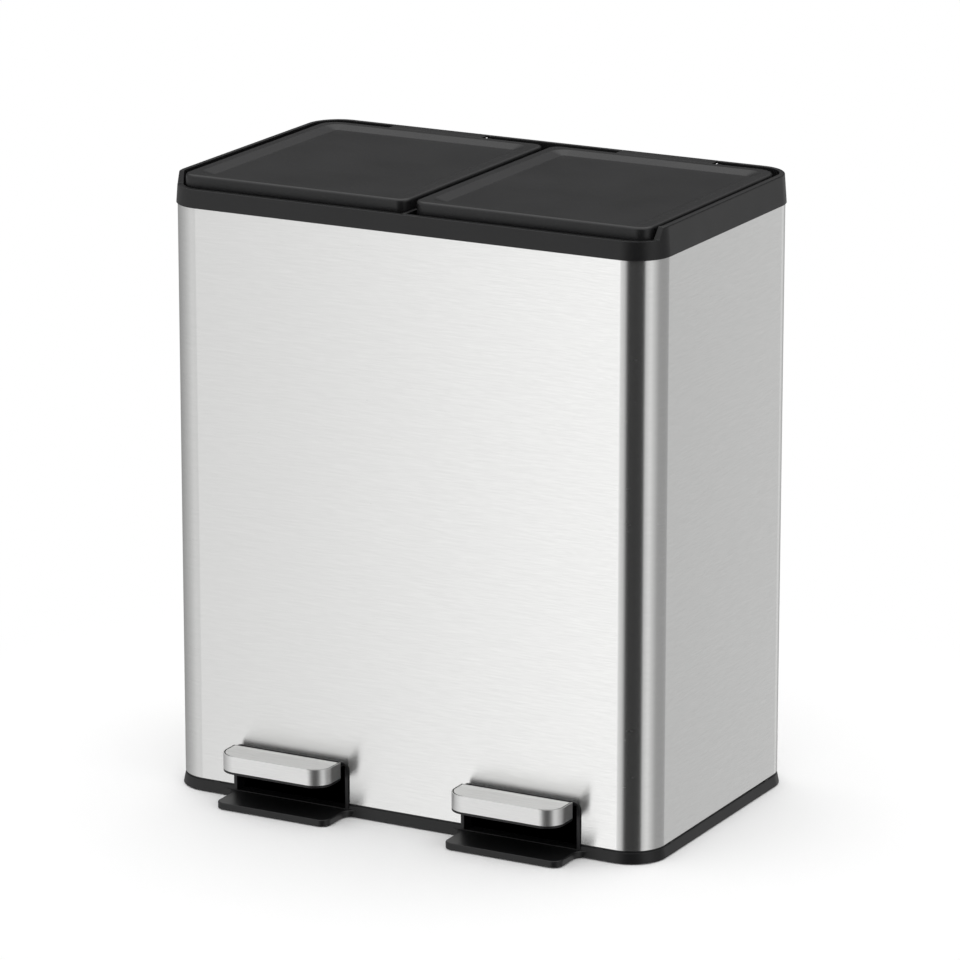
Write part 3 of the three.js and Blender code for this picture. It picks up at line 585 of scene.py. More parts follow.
@dataclass(frozen=True)
class Finish:
    """What every finish has: its name, colour, gloss and what it is made of."""

    name: str
    colour: str
    roughness: float
    metallic: float = 0.0
    ior: float = 1.5

    def material(self) -> bpy.types.Material:
        """The finish as a material, made once."""
        found = bpy.data.materials.get(self.name)
        if found:
            return found
        material = bpy.data.materials.new(self.name)
        material.use_nodes = True
        tree = material.node_tree
        tree.nodes.clear()
        shader = node(tree, "ShaderNodeBsdfPrincipled", {
            "Base Color": linear(self.colour), "Roughness": self.roughness, "Metallic": self.metallic,
            "IOR": self.ior})
        self.pattern(tree, shader)
        node(tree, "ShaderNodeOutputMaterial", {"Surface": shader.outputs["BSDF"]})
        return material

    def pattern(self, tree: bpy.types.NodeTree, shader: bpy.types.Node) -> None:
        """Adds what the surface shows besides its colour. A plain finish has none."""

    def noise(self, tree: bpy.types.NodeTree, periods: Point, detail: float,
              roughness: float = 0.5) -> bpy.types.NodeSocket:
        """An uneven pattern that lies still on the piece.

        Args:
            tree: The node tree.
            periods: The pattern's period along X, Y and Z, in millimetres.
            detail: How many finer layers it has.
            roughness: How strong each finer layer is.

        Returns:
            The output socket of its value.
        """
        where = node(tree, "ShaderNodeTexCoord").outputs["Object"]
        scaled = node(tree, "ShaderNodeMapping", {
            "Vector": where, "Scale": [1 / (p * MM) for p in periods]}).outputs["Vector"]
        return node(tree, "ShaderNodeTexNoise", {
            "Vector": scaled, "Scale": 1.0, "Detail": detail, "Roughness": roughness}).outputs["Fac"]

    def spread(self, tree: bpy.types.NodeTree, value: bpy.types.NodeSocket, low: float,
               high: float) -> bpy.types.NodeSocket:
        """A pattern's value, spread between two others.

        Args:
            tree: The node tree.
            value: The pattern's value, mostly from 0.3 to 0.7.
            low: What the low values become.
            high: What the high values become.

        Returns:
            The output socket.
        """
        return node(tree, "ShaderNodeMapRange", {"Value": value, "From Min": 0.3, "From Max": 0.7,
                                                 "To Min": low, "To Max": high}).outputs["Result"]

    def tint(self, tree: bpy.types.NodeTree, shader: bpy.types.Node, value: bpy.types.NodeSocket,
             colours: tuple[str, str]) -> None:
        """Lets a pattern lead the colour, from the first of two colours to the second."""
        mix = node(tree, "ShaderNodeMix", {0: self.spread(tree, value, 0.0, 1.0)}, data_type="RGBA")
        for place, colour in zip((6, 7), colours):
            mix.inputs[place].default_value = linear(colour)
        tree.links.new(mix.outputs[2], shader.inputs["Base Color"])

    def gloss(self, tree: bpy.types.NodeTree, shader: bpy.types.Node, value: bpy.types.NodeSocket,
              changes: Pair) -> None:
        """Lets a pattern lead the roughness, from the first of two changes to the second."""
        low, high = changes
        rough = self.spread(tree, value, self.roughness + low, self.roughness + high)
        tree.links.new(rough, shader.inputs["Roughness"])

    @staticmethod
    def emboss(tree: bpy.types.NodeTree, shader: bpy.types.Node, value: bpy.types.NodeSocket,
               strength: float, depth: float) -> None:
        """Lets a pattern lead the relief, at a strength and to a depth in millimetres."""
        bump = node(tree, "ShaderNodeBump", {"Height": value, "Strength": strength,
                                             "Distance": depth * MM})
        tree.links.new(bump.outputs["Normal"], shader.inputs["Normal"])


@dataclass(frozen=True)
class BrushedSteel(Finish):
    """Stainless sheet, ground with a belt: fine level scratches that smear light upright."""

    pole: str = "Z"
    darker: str = "#e3e3e2"
    grain: Point = (30.0, 30.0, 1.3)
    fine_grain: Point = (9.0, 9.0, 0.6)
    stretch: float = 0.82
    # How the stretch is turned against the round about the pole, as a share of a full turn.
    stretch_turn: float = 0.25
    gloss_change: float = 0.015
    relief: float = 0.012
    depth: float = 0.3

    def pattern(self, tree: bpy.types.NodeTree, shader: bpy.types.Node) -> None:
        """Adds the grain to the colour, the roughness and the relief.

        The grit's own lines are about 0.05 mm apart, too fine to show, so they are drawn 0.6 and
        1.3 mm apart.
        """
        coarse = self.noise(tree, self.grain, 3.0, 0.6)
        fine = self.noise(tree, self.fine_grain, 2.0)
        both = node(tree, "ShaderNodeMath", {0: coarse, 1: fine}, operation="ADD").outputs["Value"]
        grain = product(tree, both, 0.5)
        self.tint(tree, shader, grain, (self.darker, self.colour))
        self.gloss(tree, shader, grain, (self.gloss_change, -self.gloss_change))
        self.emboss(tree, shader, grain, self.relief, self.depth)
        along = node(tree, "ShaderNodeTangent", direction_type="RADIAL", axis=self.pole)
        tree.links.new(along.outputs["Tangent"], shader.inputs["Tangent"])
        shader.inputs["Anisotropic"].default_value = self.stretch
        shader.inputs["Anisotropic Rotation"].default_value = self.stretch_turn


@dataclass(frozen=True)
class MouldedPlastic(Finish):
    """Injection moulded plastic with a fine spark texture: an even, dull sheen."""

    lighter: str = "#202021"
    texture: float = 0.7
    relief: float = 0.25
    cloud: float = 60.0
    gloss_change: float = 0.03
    depth: float = 0.12

    def pattern(self, tree: bpy.types.NodeTree, shader: bpy.types.Node) -> None:
        """Adds the spark texture's relief and a slow change of gloss.

        The texture's own pits are about 0.1 mm across. They are drawn larger, so that they show.
        """
        pits = self.noise(tree, (self.texture,) * 3, 2.0, 0.6)
        cloud = self.noise(tree, (self.cloud,) * 3, 2.0)
        self.tint(tree, shader, pits, (self.colour, self.lighter))
        self.gloss(tree, shader, cloud, (-self.gloss_change, self.gloss_change))
        self.emboss(tree, shader, pits, self.relief, self.depth)


@dataclass(frozen=True)
class PlatedSteel(Finish):
    """Zinc plated steel, barrel plated: a grey metal with soft cloudy spots and small dents."""

    darker: str = "#84878a"
    spangle: float = 2.5
    gloss_changes: Pair = (0.08, -0.05)
    relief: float = 0.2
    depth: float = 0.2

    def pattern(self, tree: bpy.types.NodeTree, shader: bpy.types.Node) -> None:
        """Adds the plating's clouds to the colour and the roughness, and the dents to the relief."""
        cloud = self.noise(tree, (self.spangle,) * 3, 3.0)
        self.tint(tree, shader, cloud, (self.darker, self.colour))
        self.gloss(tree, shader, cloud, self.gloss_changes)
        self.emboss(tree, shader, cloud, self.relief, self.depth)


# Belt-ground 430 stainless sheet. Its level grain smears every reflection upright into clean bands.
SHEET_STEEL = BrushedSteel("stainless_sheet_brushed_level", "#ebebea", 0.26, 1.0)
# The same sheet round a pedal's front, rubbed satin by hand after folding, so that it mirrors less.
# Its colour, lighter than the body's sheet, is painted light: a lit copy of the same steel.
PEDAL_BAND_STEEL_PAINTED_LIGHT = BrushedSteel("stainless_sheet_brushed_satin", "#f4f4f3", 0.4, 1.0, stretch=0.2,
                                darker="#ebebea")
# The same sheet where it lies flat on top of a pedal. The grain runs along the pedal.
# Its colour, darker than the body's sheet, is painted shade: a shaded copy of the same steel.
PEDAL_TOP_STEEL_PAINTED_SHADE = BrushedSteel("stainless_sheet_brushed_flat", "#e2e2e1", 0.3, 1.0, pole="Y",
                               grain=(24.0, 1.1, 24.0), fine_grain=(8.0, 0.5, 8.0), darker="#cdcdcc")
# ABS, moulded and spark textured. Deep black with a dull sheen.
FRAME_ABS = MouldedPlastic("abs_black_moulded", "#0f0f10", 0.4, ior=1.46, lighter="#151516")
# ABS again, with a coarser texture on the lids that scatters the light more.
LID_ABS = MouldedPlastic("abs_black_textured_lid", "#101011", 0.35, ior=1.46, lighter="#1c1c1d",
                         texture=0.9, relief=0.7)
# Polypropylene, moulded. Softer and waxier than ABS, dark grey.
BUCKET_PP = MouldedPlastic("polypropylene_dark_grey", "#46494b", 0.5, lighter="#505355", texture=1.2,
                           relief=0.2, cloud=90.0)
# Styrene butadiene rubber, moulded. Matt, with no sheen to speak of.
RUBBER = MouldedPlastic("sbr_rubber_black", "#1b1b1b", 0.82, lighter="#242424", texture=0.8,
                        relief=0.35)
# Acetal, moulded. Off-white with a slight gloss.
ACETAL = MouldedPlastic("acetal_natural", "#d8d6cf", 0.4, lighter="#dfddd7", texture=1.5,
                        relief=0.1)
# Mild steel, dip painted black. The paint lies smooth, with a faint orange peel.
DIP_PAINT = MouldedPlastic("mild_steel_dip_painted", "#1d1d1e", 0.38, lighter="#242425", texture=2.2,
                           relief=0.3, cloud=25.0)
ZINC = PlatedSteel("mild_steel_zinc_plated", "#a5a8aa", 0.36, 1.0)


def dress(piece: bpy.types.Object, finish: Finish) -> None:
    """Gives a piece one finish all over."""
    piece.data.materials.clear()
    piece.data.materials.append(finish.material())


def place_piece(piece: bpy.types.Object, body: str, *nodes: str) -> bpy.types.Object:
    """Makes a piece ride on a body and stand for the nodes that it replaces.

    Args:
        piece: The finished piece.
        body: The body that it moves with.
        nodes: The nodes that it stands for.

    Returns:
        The same piece.
    """
    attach(piece, body)
    if nodes:
        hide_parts(*nodes)
    LOG.info("%s: %d faces, on %s", piece.name, len(piece.data.polygons), body)
    return piece


# ------------------------------------------------------------------------------------------------
# Body
# ------------------------------------------------------------------------------------------------


@dataclass
class Plan:
    """The body's plan, which its mouldings follow, and the places that the two halves share."""

    half_width: float = 276.5
    half_depth: float = 164.2
    corner: float = 37.0
    side_centre: float = 133.3
    sheet: float = 0.8
    fit: float = 0.3
    mouth_half: float = 64.0
    mouth_top: float = 54.0
    mouth_wall: float = 2.0
    mouth_corner: float = 5.0
    pivot: Pair = (3.75, 36.0)
    hinge: Pair = (157.0, 642.0)
    rod_x: float = 124.3
    rod_y: float = 144.74
    rod_hole_radius: float = 2.7
    pin_bore_radius: float = 2.5

    def ring_block(self, name: str, bottom: float, top: float, grow_low: float,
                   grow_high: float | None = None, segments: int = 24) -> bpy.types.Object:
        """A block on the body's plan, moved out from it by amounts at its bottom and its top.

        Args:
            name: The piece's name.
            bottom: Its lowest height.
            top: Its highest height.
            grow_low: How far it stands out at the bottom.
            grow_high: How far it stands out at the top, if that differs.
            segments: How many segments each corner gets.

        Returns:
            The new piece.
        """
        return drafted(name, (-self.half_width, -self.half_depth, bottom),
                       (self.half_width, self.half_depth, top), self.corner, grow_low,
                       grow_low if grow_high is None else grow_high, segments)

    def mouth_block(self, name: str, grow: float, front: float, rear: float,
                    bottom: float) -> bpy.types.Object:
        """The block that fills the right pedal mouth and its walls.

        Args:
            name: The piece's name.
            grow: How far it stands out from the walls' outside.
            front: Its front, along Y.
            rear: Its rear, along Y.
            bottom: Its lowest height.

        Returns:
            The new piece.
        """
        half = self.mouth_half + self.mouth_wall + grow
        piece = block(name, (self.side_centre - half, front, bottom),
                      (self.side_centre + half, rear, self.mouth_top + self.mouth_wall + grow))
        return self.round_top_corners(piece, self.mouth_corner)

    def rod_hole(self, height: float) -> bpy.types.Object:
        """The hole that the right push rod passes through, about a height."""
        return bar("rod_hole", Axis.Z, (self.rod_x, self.rod_y, height), self.rod_hole_radius, 8,
                   sides=20)

    def pin_bore(self, length: float) -> bpy.types.Object:
        """The bore for the right hinge pin."""
        return bar("pin_bore", Axis.X, (self.side_centre, *self.hinge), self.pin_bore_radius,
                   length, sides=24)

    @staticmethod
    def round_top_corners(piece: bpy.types.Object, radius: float,
                          segments: int = 10) -> bpy.types.Object:
        """Rounds the two upper edges that run along Y.

        Args:
            piece: The block.
            radius: The corner's radius.
            segments: How many segments it gets.

        Returns:
            The same piece.
        """
        level = level_at(max(from_frame(v.co).z for v in piece.data.vertices))
        with Edit(piece) as edit:
            edit.edges(lambda a, b: level(a, b) and abs(a.y - b.y) > ALONG)
            edit.bevel(radius, segments)
        return piece


@dataclass
class SteelBody:
    """The brushed sheet, wrapped round the body and closed by one seam at the rear."""

    plan: Plan
    bottom: float = 14.0
    top: float = 626.5
    seam_width: float = 0.5
    seam_depth: float = 0.35
    edge: float = 0.12
    edge_angle: float = 60.0

    def build(self) -> bpy.types.Object:
        """Wraps the sheet, cuts the pedal mouths out of it and marks its seam."""
        plan = self.plan
        piece = plate("steel_sheet", (-plan.half_width, -plan.half_depth, self.bottom),
                      (plan.half_width, plan.half_depth, self.top), plan.corner, segments=32)
        open_ends(piece)
        take_only(piece)
        thickness = piece.modifiers.new("Solidify", "SOLIDIFY")
        thickness.thickness = plan.sheet * MM
        thickness.offset = -1
        bpy.ops.object.modifier_apply(modifier=thickness.name)
        mouth = plan.mouth_block("mouth", plan.fit, -plan.half_depth - PAST,
                                 -plan.half_depth + plan.corner, self.bottom - PAST)
        seam = block("seam",
                     (-self.seam_width / 2, plan.half_depth - self.seam_depth, self.bottom - PAST),
                     (self.seam_width / 2, plan.half_depth + PAST, self.top + PAST))
        cut(piece, *both_ways(mouth), seam)
        return soften(piece, self.edge, segments=1, angle=self.edge_angle)

    def dress(self, piece: bpy.types.Object) -> None:
        """Gives the sheet its brushed finish."""
        dress(piece, SHEET_STEEL)
        place_piece(piece, "body", "outer_shell")


@dataclass
class TopFrame:
    """The black moulding over the sheet's upper edge: walls, ledge, divider and hinge bosses."""

    plan: Plan
    bottom: float = 619.0
    top: float = 650.0
    overhang: float = 1.4
    top_inset: float = 0.9
    inner: float = 6.4
    ledge: Pair = (620.8, 624.0)
    skirt: float = 3.4
    sheet_top: float = 626.5
    low_front: float = 638.0
    step: Pair = (-142.5, -137.0)
    divider_half: float = 2.0
    divider_top: float = 639.0
    divider_bite: float = 3.0
    notch_half: float = 55.35
    notch_bottom: float = 628.0
    notch_front: float = 149.8
    boss: tuple[float, float, float] = (5.2, 45.0, 60.0)
    bore_length: float = 108.0
    keyway_half: float = 1.8
    keyway_rear: float = 3.3
    way_low: Pair = (13.0, -139.0)
    way_high: Pair = (255.0, 120.0)
    way_corner: float = 23.0
    top_edge: float = 1.6
    bottom_edge: float = 0.5
    edge: float = 0.45

    def build(self) -> bpy.types.Object:
        """Models the wall, sinks the well, and adds the divider and the hinge bosses."""
        plan, sheet = self.plan, self.plan.sheet + self.plan.fit
        piece = plan.ring_block("top_frame_moulding", self.bottom, self.top, self.overhang,
                                -self.top_inset)
        round_loop(piece, self.top, self.top_edge, segments=4)
        round_loop(piece, self.bottom, self.bottom_edge, segments=2)
        well = plan.ring_block("well", self.ledge[1], self.top + 2 * PAST, -self.inner)
        under = plan.ring_block("under", self.bottom - PAST, self.ledge[0], -sheet - self.skirt)
        slot = plan.ring_block("slot", self.bottom - PAST, self.sheet_top + plan.fit, plan.fit)
        core = plan.ring_block("core", self.bottom - 2 * PAST, self.sheet_top + PAST, -sheet)
        cut(piece, well, under, cut(slot, core), self.low_front_way())
        join(piece, block("divider", (-self.divider_half, self.divider_bite - plan.half_depth,
                                      self.ledge[1] - PAST),
                          (self.divider_half, plan.half_depth - self.divider_bite,
                           self.divider_top)))
        notch = block("notch",
                      (plan.side_centre - self.notch_half, self.notch_front, self.notch_bottom),
                      (plan.side_centre + self.notch_half, plan.half_depth + 3 * PAST,
                       self.top + 2 * PAST))
        cut(piece, *both_ways(notch))
        join(piece, *[image for boss in both_ways(self.hinge_boss(), plan.side_centre)
                      for image in both_ways(boss)])
        for way in (self.bucket_way(), plan.pin_bore(self.bore_length),
                    plan.rod_hole(self.ledge[1] - 2), self.keyway()):
            cut(piece, *both_ways(way))
        return soften(piece, self.edge, segments=3, angle=40)

    def low_front_way(self) -> bpy.types.Object:
        """The cutter that lowers the front wall, with a sloping step up to the sides."""
        out, over, aside = -self.plan.half_depth - 8, self.top + 3 * PAST, 300
        return extruded("low_front", [
            (out, self.low_front), (self.step[0], self.low_front), (self.step[1], self.top),
            (self.step[1], over), (out, over)], Axis.X, -aside, aside)

    def hinge_boss(self) -> bpy.types.Object:
        """The outer of the two bosses that hold the right hinge pin."""
        radius, start, end = self.boss
        middle = self.plan.side_centre + (start + end) / 2
        return bar("boss", Axis.X, (middle, *self.plan.hinge), radius, end - start, sides=40)

    def keyway(self) -> bpy.types.Object:
        """The slot in the outer boss that the damper's tab keys into."""
        x = self.plan.side_centre + self.boss[1]
        y, z = self.plan.hinge
        return block("keyway", (x - PAST, y - self.boss[0] - PAST, z - self.keyway_half),
                     (x + 4, y - self.keyway_rear, z + self.keyway_half))

    def bucket_way(self) -> bpy.types.Object:
        """The opening in the ledge that a bucket drops through."""
        return plate("bucket_way", (*self.way_low, self.ledge[0] - 3 * PAST),
                     (*self.way_high, self.ledge[1] + PAST), self.way_corner, segments=10)

    def dress(self, piece: bpy.types.Object) -> None:
        """Gives the frame its moulded finish."""
        dress(piece, FRAME_ABS)
        place_piece(piece, "body", "top_frame")


@dataclass
class BaseMoulding:
    """The black base: flared ring, spigot and deck, nubs, posts, pedal mouths, foot plates and ears."""

    plan: Plan
    stand: float = 1.0
    ring_top: float = 12.0
    flare: float = 2.2
    deck: Pair = (60.5, 63.0)
    spigot: Pair = (1.1, 3.5)
    foot_place: Pair = (232.5, 120.2)
    bezel: tuple[float, float, float, float] = (68.0, 58.0, 9.0, 1.5)
    plate_half: float = 66.0
    plate_front: float = -209.0
    plate_top: float = 8.0
    plate_corner: float = 10.0
    plate_fillet: float = 12.0
    plate_fade: float = 15.0
    plate_edge: float = 1.3
    mouth_rear: float = -150.5
    ring_wall: float = 3.0
    ring_edge: float = 0.6
    post_radius: float = 15.0
    socket: Pair = (12.3, 4.5)
    nub: tuple[float, float, float] = (8.0, 2.0, 54.0)
    nub_rise: float = 1.7
    ear: tuple[float, float, float] = (16.5, 19.5, 8.0)
    ear_round: float = 7.0
    axle_bore: Pair = (3.25, 46.6)
    edge: float = 0.5

    def build(self) -> bpy.types.Object:
        """Joins the moulding's walls and cuts the ways through it."""
        plan = self.plan
        piece = plan.ring_block("base_moulding", self.stand, self.ring_top, self.flare, 0)
        round_loop(piece, self.ring_top, self.ring_edge, segments=3)
        cut(piece, plan.ring_block("ring_inside", self.stand - PAST, self.ring_top + PAST,
                                   -self.ring_wall))
        spigot = plan.ring_block("spigot", self.ring_top - self.ring_wall, self.deck[1],
                                 -self.spigot[0])
        cut(spigot, plan.ring_block("hollow", self.stand, self.deck[0], -self.spigot[1]))
        join(piece, spigot, *self.posts(), *self.nubs())
        for part in (self.bezel_frame(), self.tunnel(), self.foot_plate(), *self.ears()):
            join(piece, *both_ways(part))
        way = block("way", (plan.side_centre - plan.mouth_half, self.plate_front, self.plate_top),
                    (plan.side_centre + plan.mouth_half, self.mouth_rear + PAST, plan.mouth_top))
        axle_hole = bar("axle_hole", Axis.X, (plan.side_centre, *plan.pivot), *self.axle_bore,
                        sides=24)
        for opening in (way, plan.rod_hole(self.deck[0] + 1), axle_hole):
            cut(piece, *both_ways(opening))
        cut(piece, *self.sockets())
        return soften(piece, self.edge, angle=40)

    def posts(self) -> list[bpy.types.Object]:
        """The four posts that reach down from the deck to the feet."""
        return self.at_the_feet("post", self.post_radius, self.stand, self.deck[1] - 1)

    def sockets(self) -> list[bpy.types.Object]:
        """The four sockets that the rubber feet are pressed into."""
        radius, top = self.socket
        return self.at_the_feet("socket", radius, 0, top)

    def at_the_feet(self, name: str, radius: float, low: float,
                    high: float) -> list[bpy.types.Object]:
        """Four upright bars, one at each foot.

        Args:
            name: What they are called.
            radius: Their radius.
            low: The height of their lower ends.
            high: The height of their upper ends.

        Returns:
            The bars.
        """
        x, y = self.foot_place
        return [piece for end in (-y, y) for piece in both_ways(
            bar(name, Axis.Z, (x, end, (low + high) / 2), radius, high - low, sides=40))]

    def nubs(self) -> list[bpy.types.Object]:
        """The eight nubs on the ring that carry the sheet clear of it."""
        length, depth, inset = self.nub
        x, y = self.plan.half_width - inset, self.plan.half_depth - inset
        low, high = self.ring_top - 1, self.ring_top + self.nub_rise
        made = [block("nub", (x - length / 2, front, low), (x + length / 2, front + depth, high))
                for front in (-self.plan.half_depth, self.plan.half_depth - depth)]
        made += [block("nub", (self.plan.half_width - depth, end - length / 2, low),
                       (self.plan.half_width, end + length / 2, high)) for end in (-y, y)]
        return [piece for nub in made for piece in both_ways(nub)]

    def bezel_frame(self) -> bpy.types.Object:
        """The raised edge round the right pedal's mouth."""
        half, top, corner, proud = self.bezel
        face = -self.plan.half_depth - self.plan.fit
        piece = block("bezel", (self.plan.side_centre - half, face - proud, self.stand),
                      (self.plan.side_centre + half, face + 0.05, top))
        return Plan.round_top_corners(piece, corner, segments=14)

    def tunnel(self) -> bpy.types.Object:
        """The short tunnel behind the bezel."""
        return self.plan.mouth_block("tunnel", 0, -self.plan.half_depth - self.plan.fit,
                                     self.mouth_rear, self.stand)

    def foot_plate(self) -> bpy.types.Object:
        """The plate under the right pedal, which runs into the ring with a fillet at each end."""
        x, half = self.plan.side_centre, self.plate_half
        ring_front = -self.plan.half_depth - self.flare
        wide = half + self.plate_fillet + self.plate_fade
        fade = ring_front + self.flare + 0.4
        right = [(x + half, self.plate_front, self.plate_corner),
                 (x + half, ring_front, self.plate_fillet), (x + wide, fade, 0),
                 (x + wide, self.mouth_rear, 0)]
        left = [(2 * x - a, b, radius) for a, b, radius in reversed(right)]
        piece = extruded("foot_plate", rounded(left + right, segments=10), Axis.Z, self.stand,
                         self.plate_top)
        level = level_at(self.plate_top)
        with Edit(piece) as edit:
            edit.edges(lambda a, b: level(a, b) and max(a.y, b.y) < ring_front + 1.5)
            edit.bevel(self.plate_edge, segments=4)
        return piece

    def ears(self) -> list[bpy.types.Object]:
        """The two ears that hang from the deck and hold the right lever's axle."""
        start, end, half = self.ear
        y, z = self.plan.pivot
        ear = block("ear", (self.plan.side_centre + start, y - half, z - half),
                    (self.plan.side_centre + end, y + half, self.deck[1] - 0.5))
        level = level_at(z - half)
        with Edit(ear) as edit:
            edit.edges(lambda a, b: level(a, b) and abs(a.x - b.x) > ALONG)
            edit.bevel(self.ear_round, segments=8)
        return both_ways(ear, self.plan.side_centre)

    def dress(self, piece: bpy.types.Object) -> None:
        """Gives the base its moulded finish."""
        dress(piece, FRAME_ABS)
        place_piece(piece, "body", "base")


# ------------------------------------------------------------------------------------------------
# Lids and hinges
# ------------------------------------------------------------------------------------------------


@dataclass
class Lid:
    """One lid: cover with a sunken field, hinge tongue, knuckles and crank, and its inner panel."""

    plan: Plan
    low: Pair = (3.8, -151.7)
    high: Pair = (264.0, 148.0)
    corners: tuple[float, float, float, float] = (12.0, 14.0, 22.0, 12.0)
    bottom: float = 635.0
    top: float = 650.0
    edge: float = 3.2
    border: float = 11.5
    slope: float = 12.5
    field_depth: float = 3.5
    field_corner: float = 4.0
    field_thickness: float = 3.0
    sag: float = 1.8
    wall: float = 2.5
    tongue_half: float = 55.0
    tongue_rear: float = 163.3
    tongue_plate: float = 2.2
    skirt_bottom: float = 632.0
    knuckle: tuple[float, float, float, float] = (5.2, 8.3, 44.3, 30.6)
    tongue_edge: float = 1.5
    crank: tuple[float, float, float, float] = (5.7, 2.7, 12.06, 15.92)
    crank_turn: float = 220.0
    crank_half: float = 2.0
    crank_window: Pair = (119.3, 142.3)
    crank_web_front: float = 142.0
    post_spread: float = 90.0
    post_y: float = -10.0
    post_radius: float = 4.0
    liner: tuple[float, float, float] = (637.0, 639.0, 3.0)
    liner_rear: float = 20.0
    liner_corners: tuple[float, float, float, float] = (9.0, 11.0, 6.0, 6.0)
    tray: tuple[float, float, float] = (24.0, 40.0, 0.7)
    tray_corner: float = 12.0
    tray_draft: float = 1.4

    def build(self) -> bpy.types.Object:
        """Models the right lid's moulding."""
        x = self.plan.side_centre
        piece = plate("lid_cover_right", (*self.low, self.bottom), (*self.high, self.top),
                      self.corners, segments=12)
        round_loop(piece, self.top, self.edge, segments=7)
        window = block("crank_window", (self.crank_window[0], self.high[1] - self.wall - PAST,
                                        self.bottom - PAST),
                       (self.crank_window[1], self.high[1] + PAST,
                        self.top - self.field_depth - self.field_thickness))
        cut(piece, self.sunken_field(), self.hollow(), window)
        self.sag_field(piece)
        join(piece, *self.liner_posts())
        tongue = block("tongue",
                       (x - self.tongue_half, self.high[1] - self.wall, self.top - self.tongue_plate),
                       (x + self.tongue_half, self.tongue_rear, self.top))
        with Edit(tongue) as edit:
            edit.edges(lambda a, b: min(a.y, b.y) > self.tongue_rear - NEAR
                       and min(a.z, b.z) > self.top - NEAR)
            edit.bevel(self.tongue_edge, segments=4)
        _, _, inner, outer = self.knuckle
        skirt = block("skirt", (x - inner, self.tongue_rear - self.wall, self.skirt_bottom),
                      (x + outer, self.tongue_rear, self.top - 0.5))
        join(piece, join(tongue, skirt, *self.knuckles(), *self.crank_arm()))
        return cut(piece, self.crank_slot(), self.plan.pin_bore(2 * self.tongue_half))

    def sunken_field(self) -> bpy.types.Object:
        """The cutter that sinks the field and leaves the sloping sides round it."""
        inset = self.border + self.slope
        return drafted("field",
                       (self.low[0] + inset, self.low[1] + inset, self.top - self.field_depth),
                       (self.high[0] - inset, self.high[1] - inset, self.top + PAST),
                       self.field_corner, 0,
                       self.slope * (self.field_depth + PAST) / self.field_depth, segments=10)

    def hollow(self) -> bpy.types.Object:
        """The cutter that hollows the lid from below."""
        w = self.wall
        return plate("hollow", (self.low[0] + w, self.low[1] + w, self.bottom - PAST),
                     (self.high[0] - w, self.high[1] - w,
                      self.top - self.field_depth - self.field_thickness),
                     [c - w for c in self.corners], segments=10)

    def sag_field(self, piece: bpy.types.Object, strips: int = 8) -> None:
        """Lowers the field's middle a little, as the real panel's is.

        Args:
            piece: The lid's cover.
            strips: How many strips the field is cut into each way first.
        """
        inset = self.border + self.slope
        height = self.top - self.field_depth

        def in_field(centre: Vector, normal: Vector) -> bool:
            """Whether a face is part of the level field."""
            return normal.z > 0.99 and abs(centre.z - height) < 0.05

        for axis in (0, 1):
            start, end = self.low[axis] + inset, self.high[axis] - inset
            for step in range(1, strips):
                place, normal = [0.0, 0.0, height], [0.0, 0.0, 0.0]
                place[axis] = start + (end - start) * step / strips
                normal[axis] = 1.0
                with Edit(piece) as edit:
                    edit.faces(in_field)
                    bpy.ops.mesh.bisect(plane_co=to_frame(*place), plane_no=normal)
        middle = Vector(((self.low[0] + self.high[0]) / 2, (self.low[1] + self.high[1]) / 2, height))
        reach = ((self.high[0] - self.low[0]) / 2 - inset) * 1.05
        with Edit(piece) as edit:
            edit.faces(in_field)
            bpy.ops.mesh.hide(unselected=True)
            bpy.ops.mesh.select_all(action="DESELECT")
            bpy.ops.mesh.select_mode(type="VERT")
            mesh = bmesh.from_edit_mesh(piece.data)
            seen = [v for v in mesh.verts if not v.hide]
            nearest = min(seen, key=lambda v: (from_frame(v.co) - middle).length)
            nearest.select_set(True)
            bmesh.update_edit_mesh(piece.data)
            bpy.ops.transform.translate(
                value=(0, 0, -self.sag * MM), use_proportional_edit=True,
                proportional_edit_falloff="SMOOTH", proportional_size=reach * MM)
            bpy.ops.mesh.reveal(select=False)

    def liner_posts(self) -> list[bpy.types.Object]:
        """The four posts that the inner panel is welded to."""
        x, base = self.plan.side_centre, self.liner[1] + self.plan.fit
        top = self.top - self.field_depth - 1.5
        return [bar("liner_post", Axis.Z, (x + i * self.post_spread,
                                           self.post_y + j * self.post_spread, (base + top) / 2),
                    self.post_radius, top - base, sides=24)
                for i in (-1, 1) for j in (-1, 1)]

    def knuckles(self) -> list[bpy.types.Object]:
        """The two knuckles that turn on the hinge pin, each with its web up to the tongue."""
        radius, length, inner, outer = self.knuckle
        y, z = self.plan.hinge
        made = []
        for start in (self.plan.side_centre - inner, self.plan.side_centre + outer - length):
            made.append(bar("knuckle", Axis.X, (start + length / 2, y, z), radius, length,
                            sides=40))
            made.append(block("web", (start, y - radius, z),
                              (start + length, y + radius, self.top - 1)))
        return made

    def crank_strip(self, start: float, end: float, radius: float, length: float,
                    sides: int) -> list[bpy.types.Object]:
        """A round-ended strip along the crank, between two distances from the hinge.

        Args:
            start: The distance of its first end's centre.
            end: The distance of its second end's centre.
            radius: The radius of its ends, which is half its width.
            length: How long it is along X.
            sides: How many sides stand for each round.

        Returns:
            The first round, the straight part and the second round.
        """
        x = self.plan.side_centre
        y, z = self.plan.hinge
        turn = math.radians(self.crank_turn)
        (y0, z0), (y1, z1) = [(y + r * math.cos(turn), z + r * math.sin(turn))
                              for r in (start, end)]
        across = Vector((0, -math.sin(turn), math.cos(turn))) * radius
        corners = [(y0 + across.y, z0 + across.z), (y0 - across.y, z0 - across.z),
                   (y1 - across.y, z1 - across.z), (y1 + across.y, z1 + across.z)]
        return [bar("crank_round", Axis.X, (x, y0, z0), radius, length, sides),
                extruded("crank_bar", corners, Axis.X, x - length / 2, x + length / 2),
                bar("crank_round", Axis.X, (x, y1, z1), radius, length, sides)]

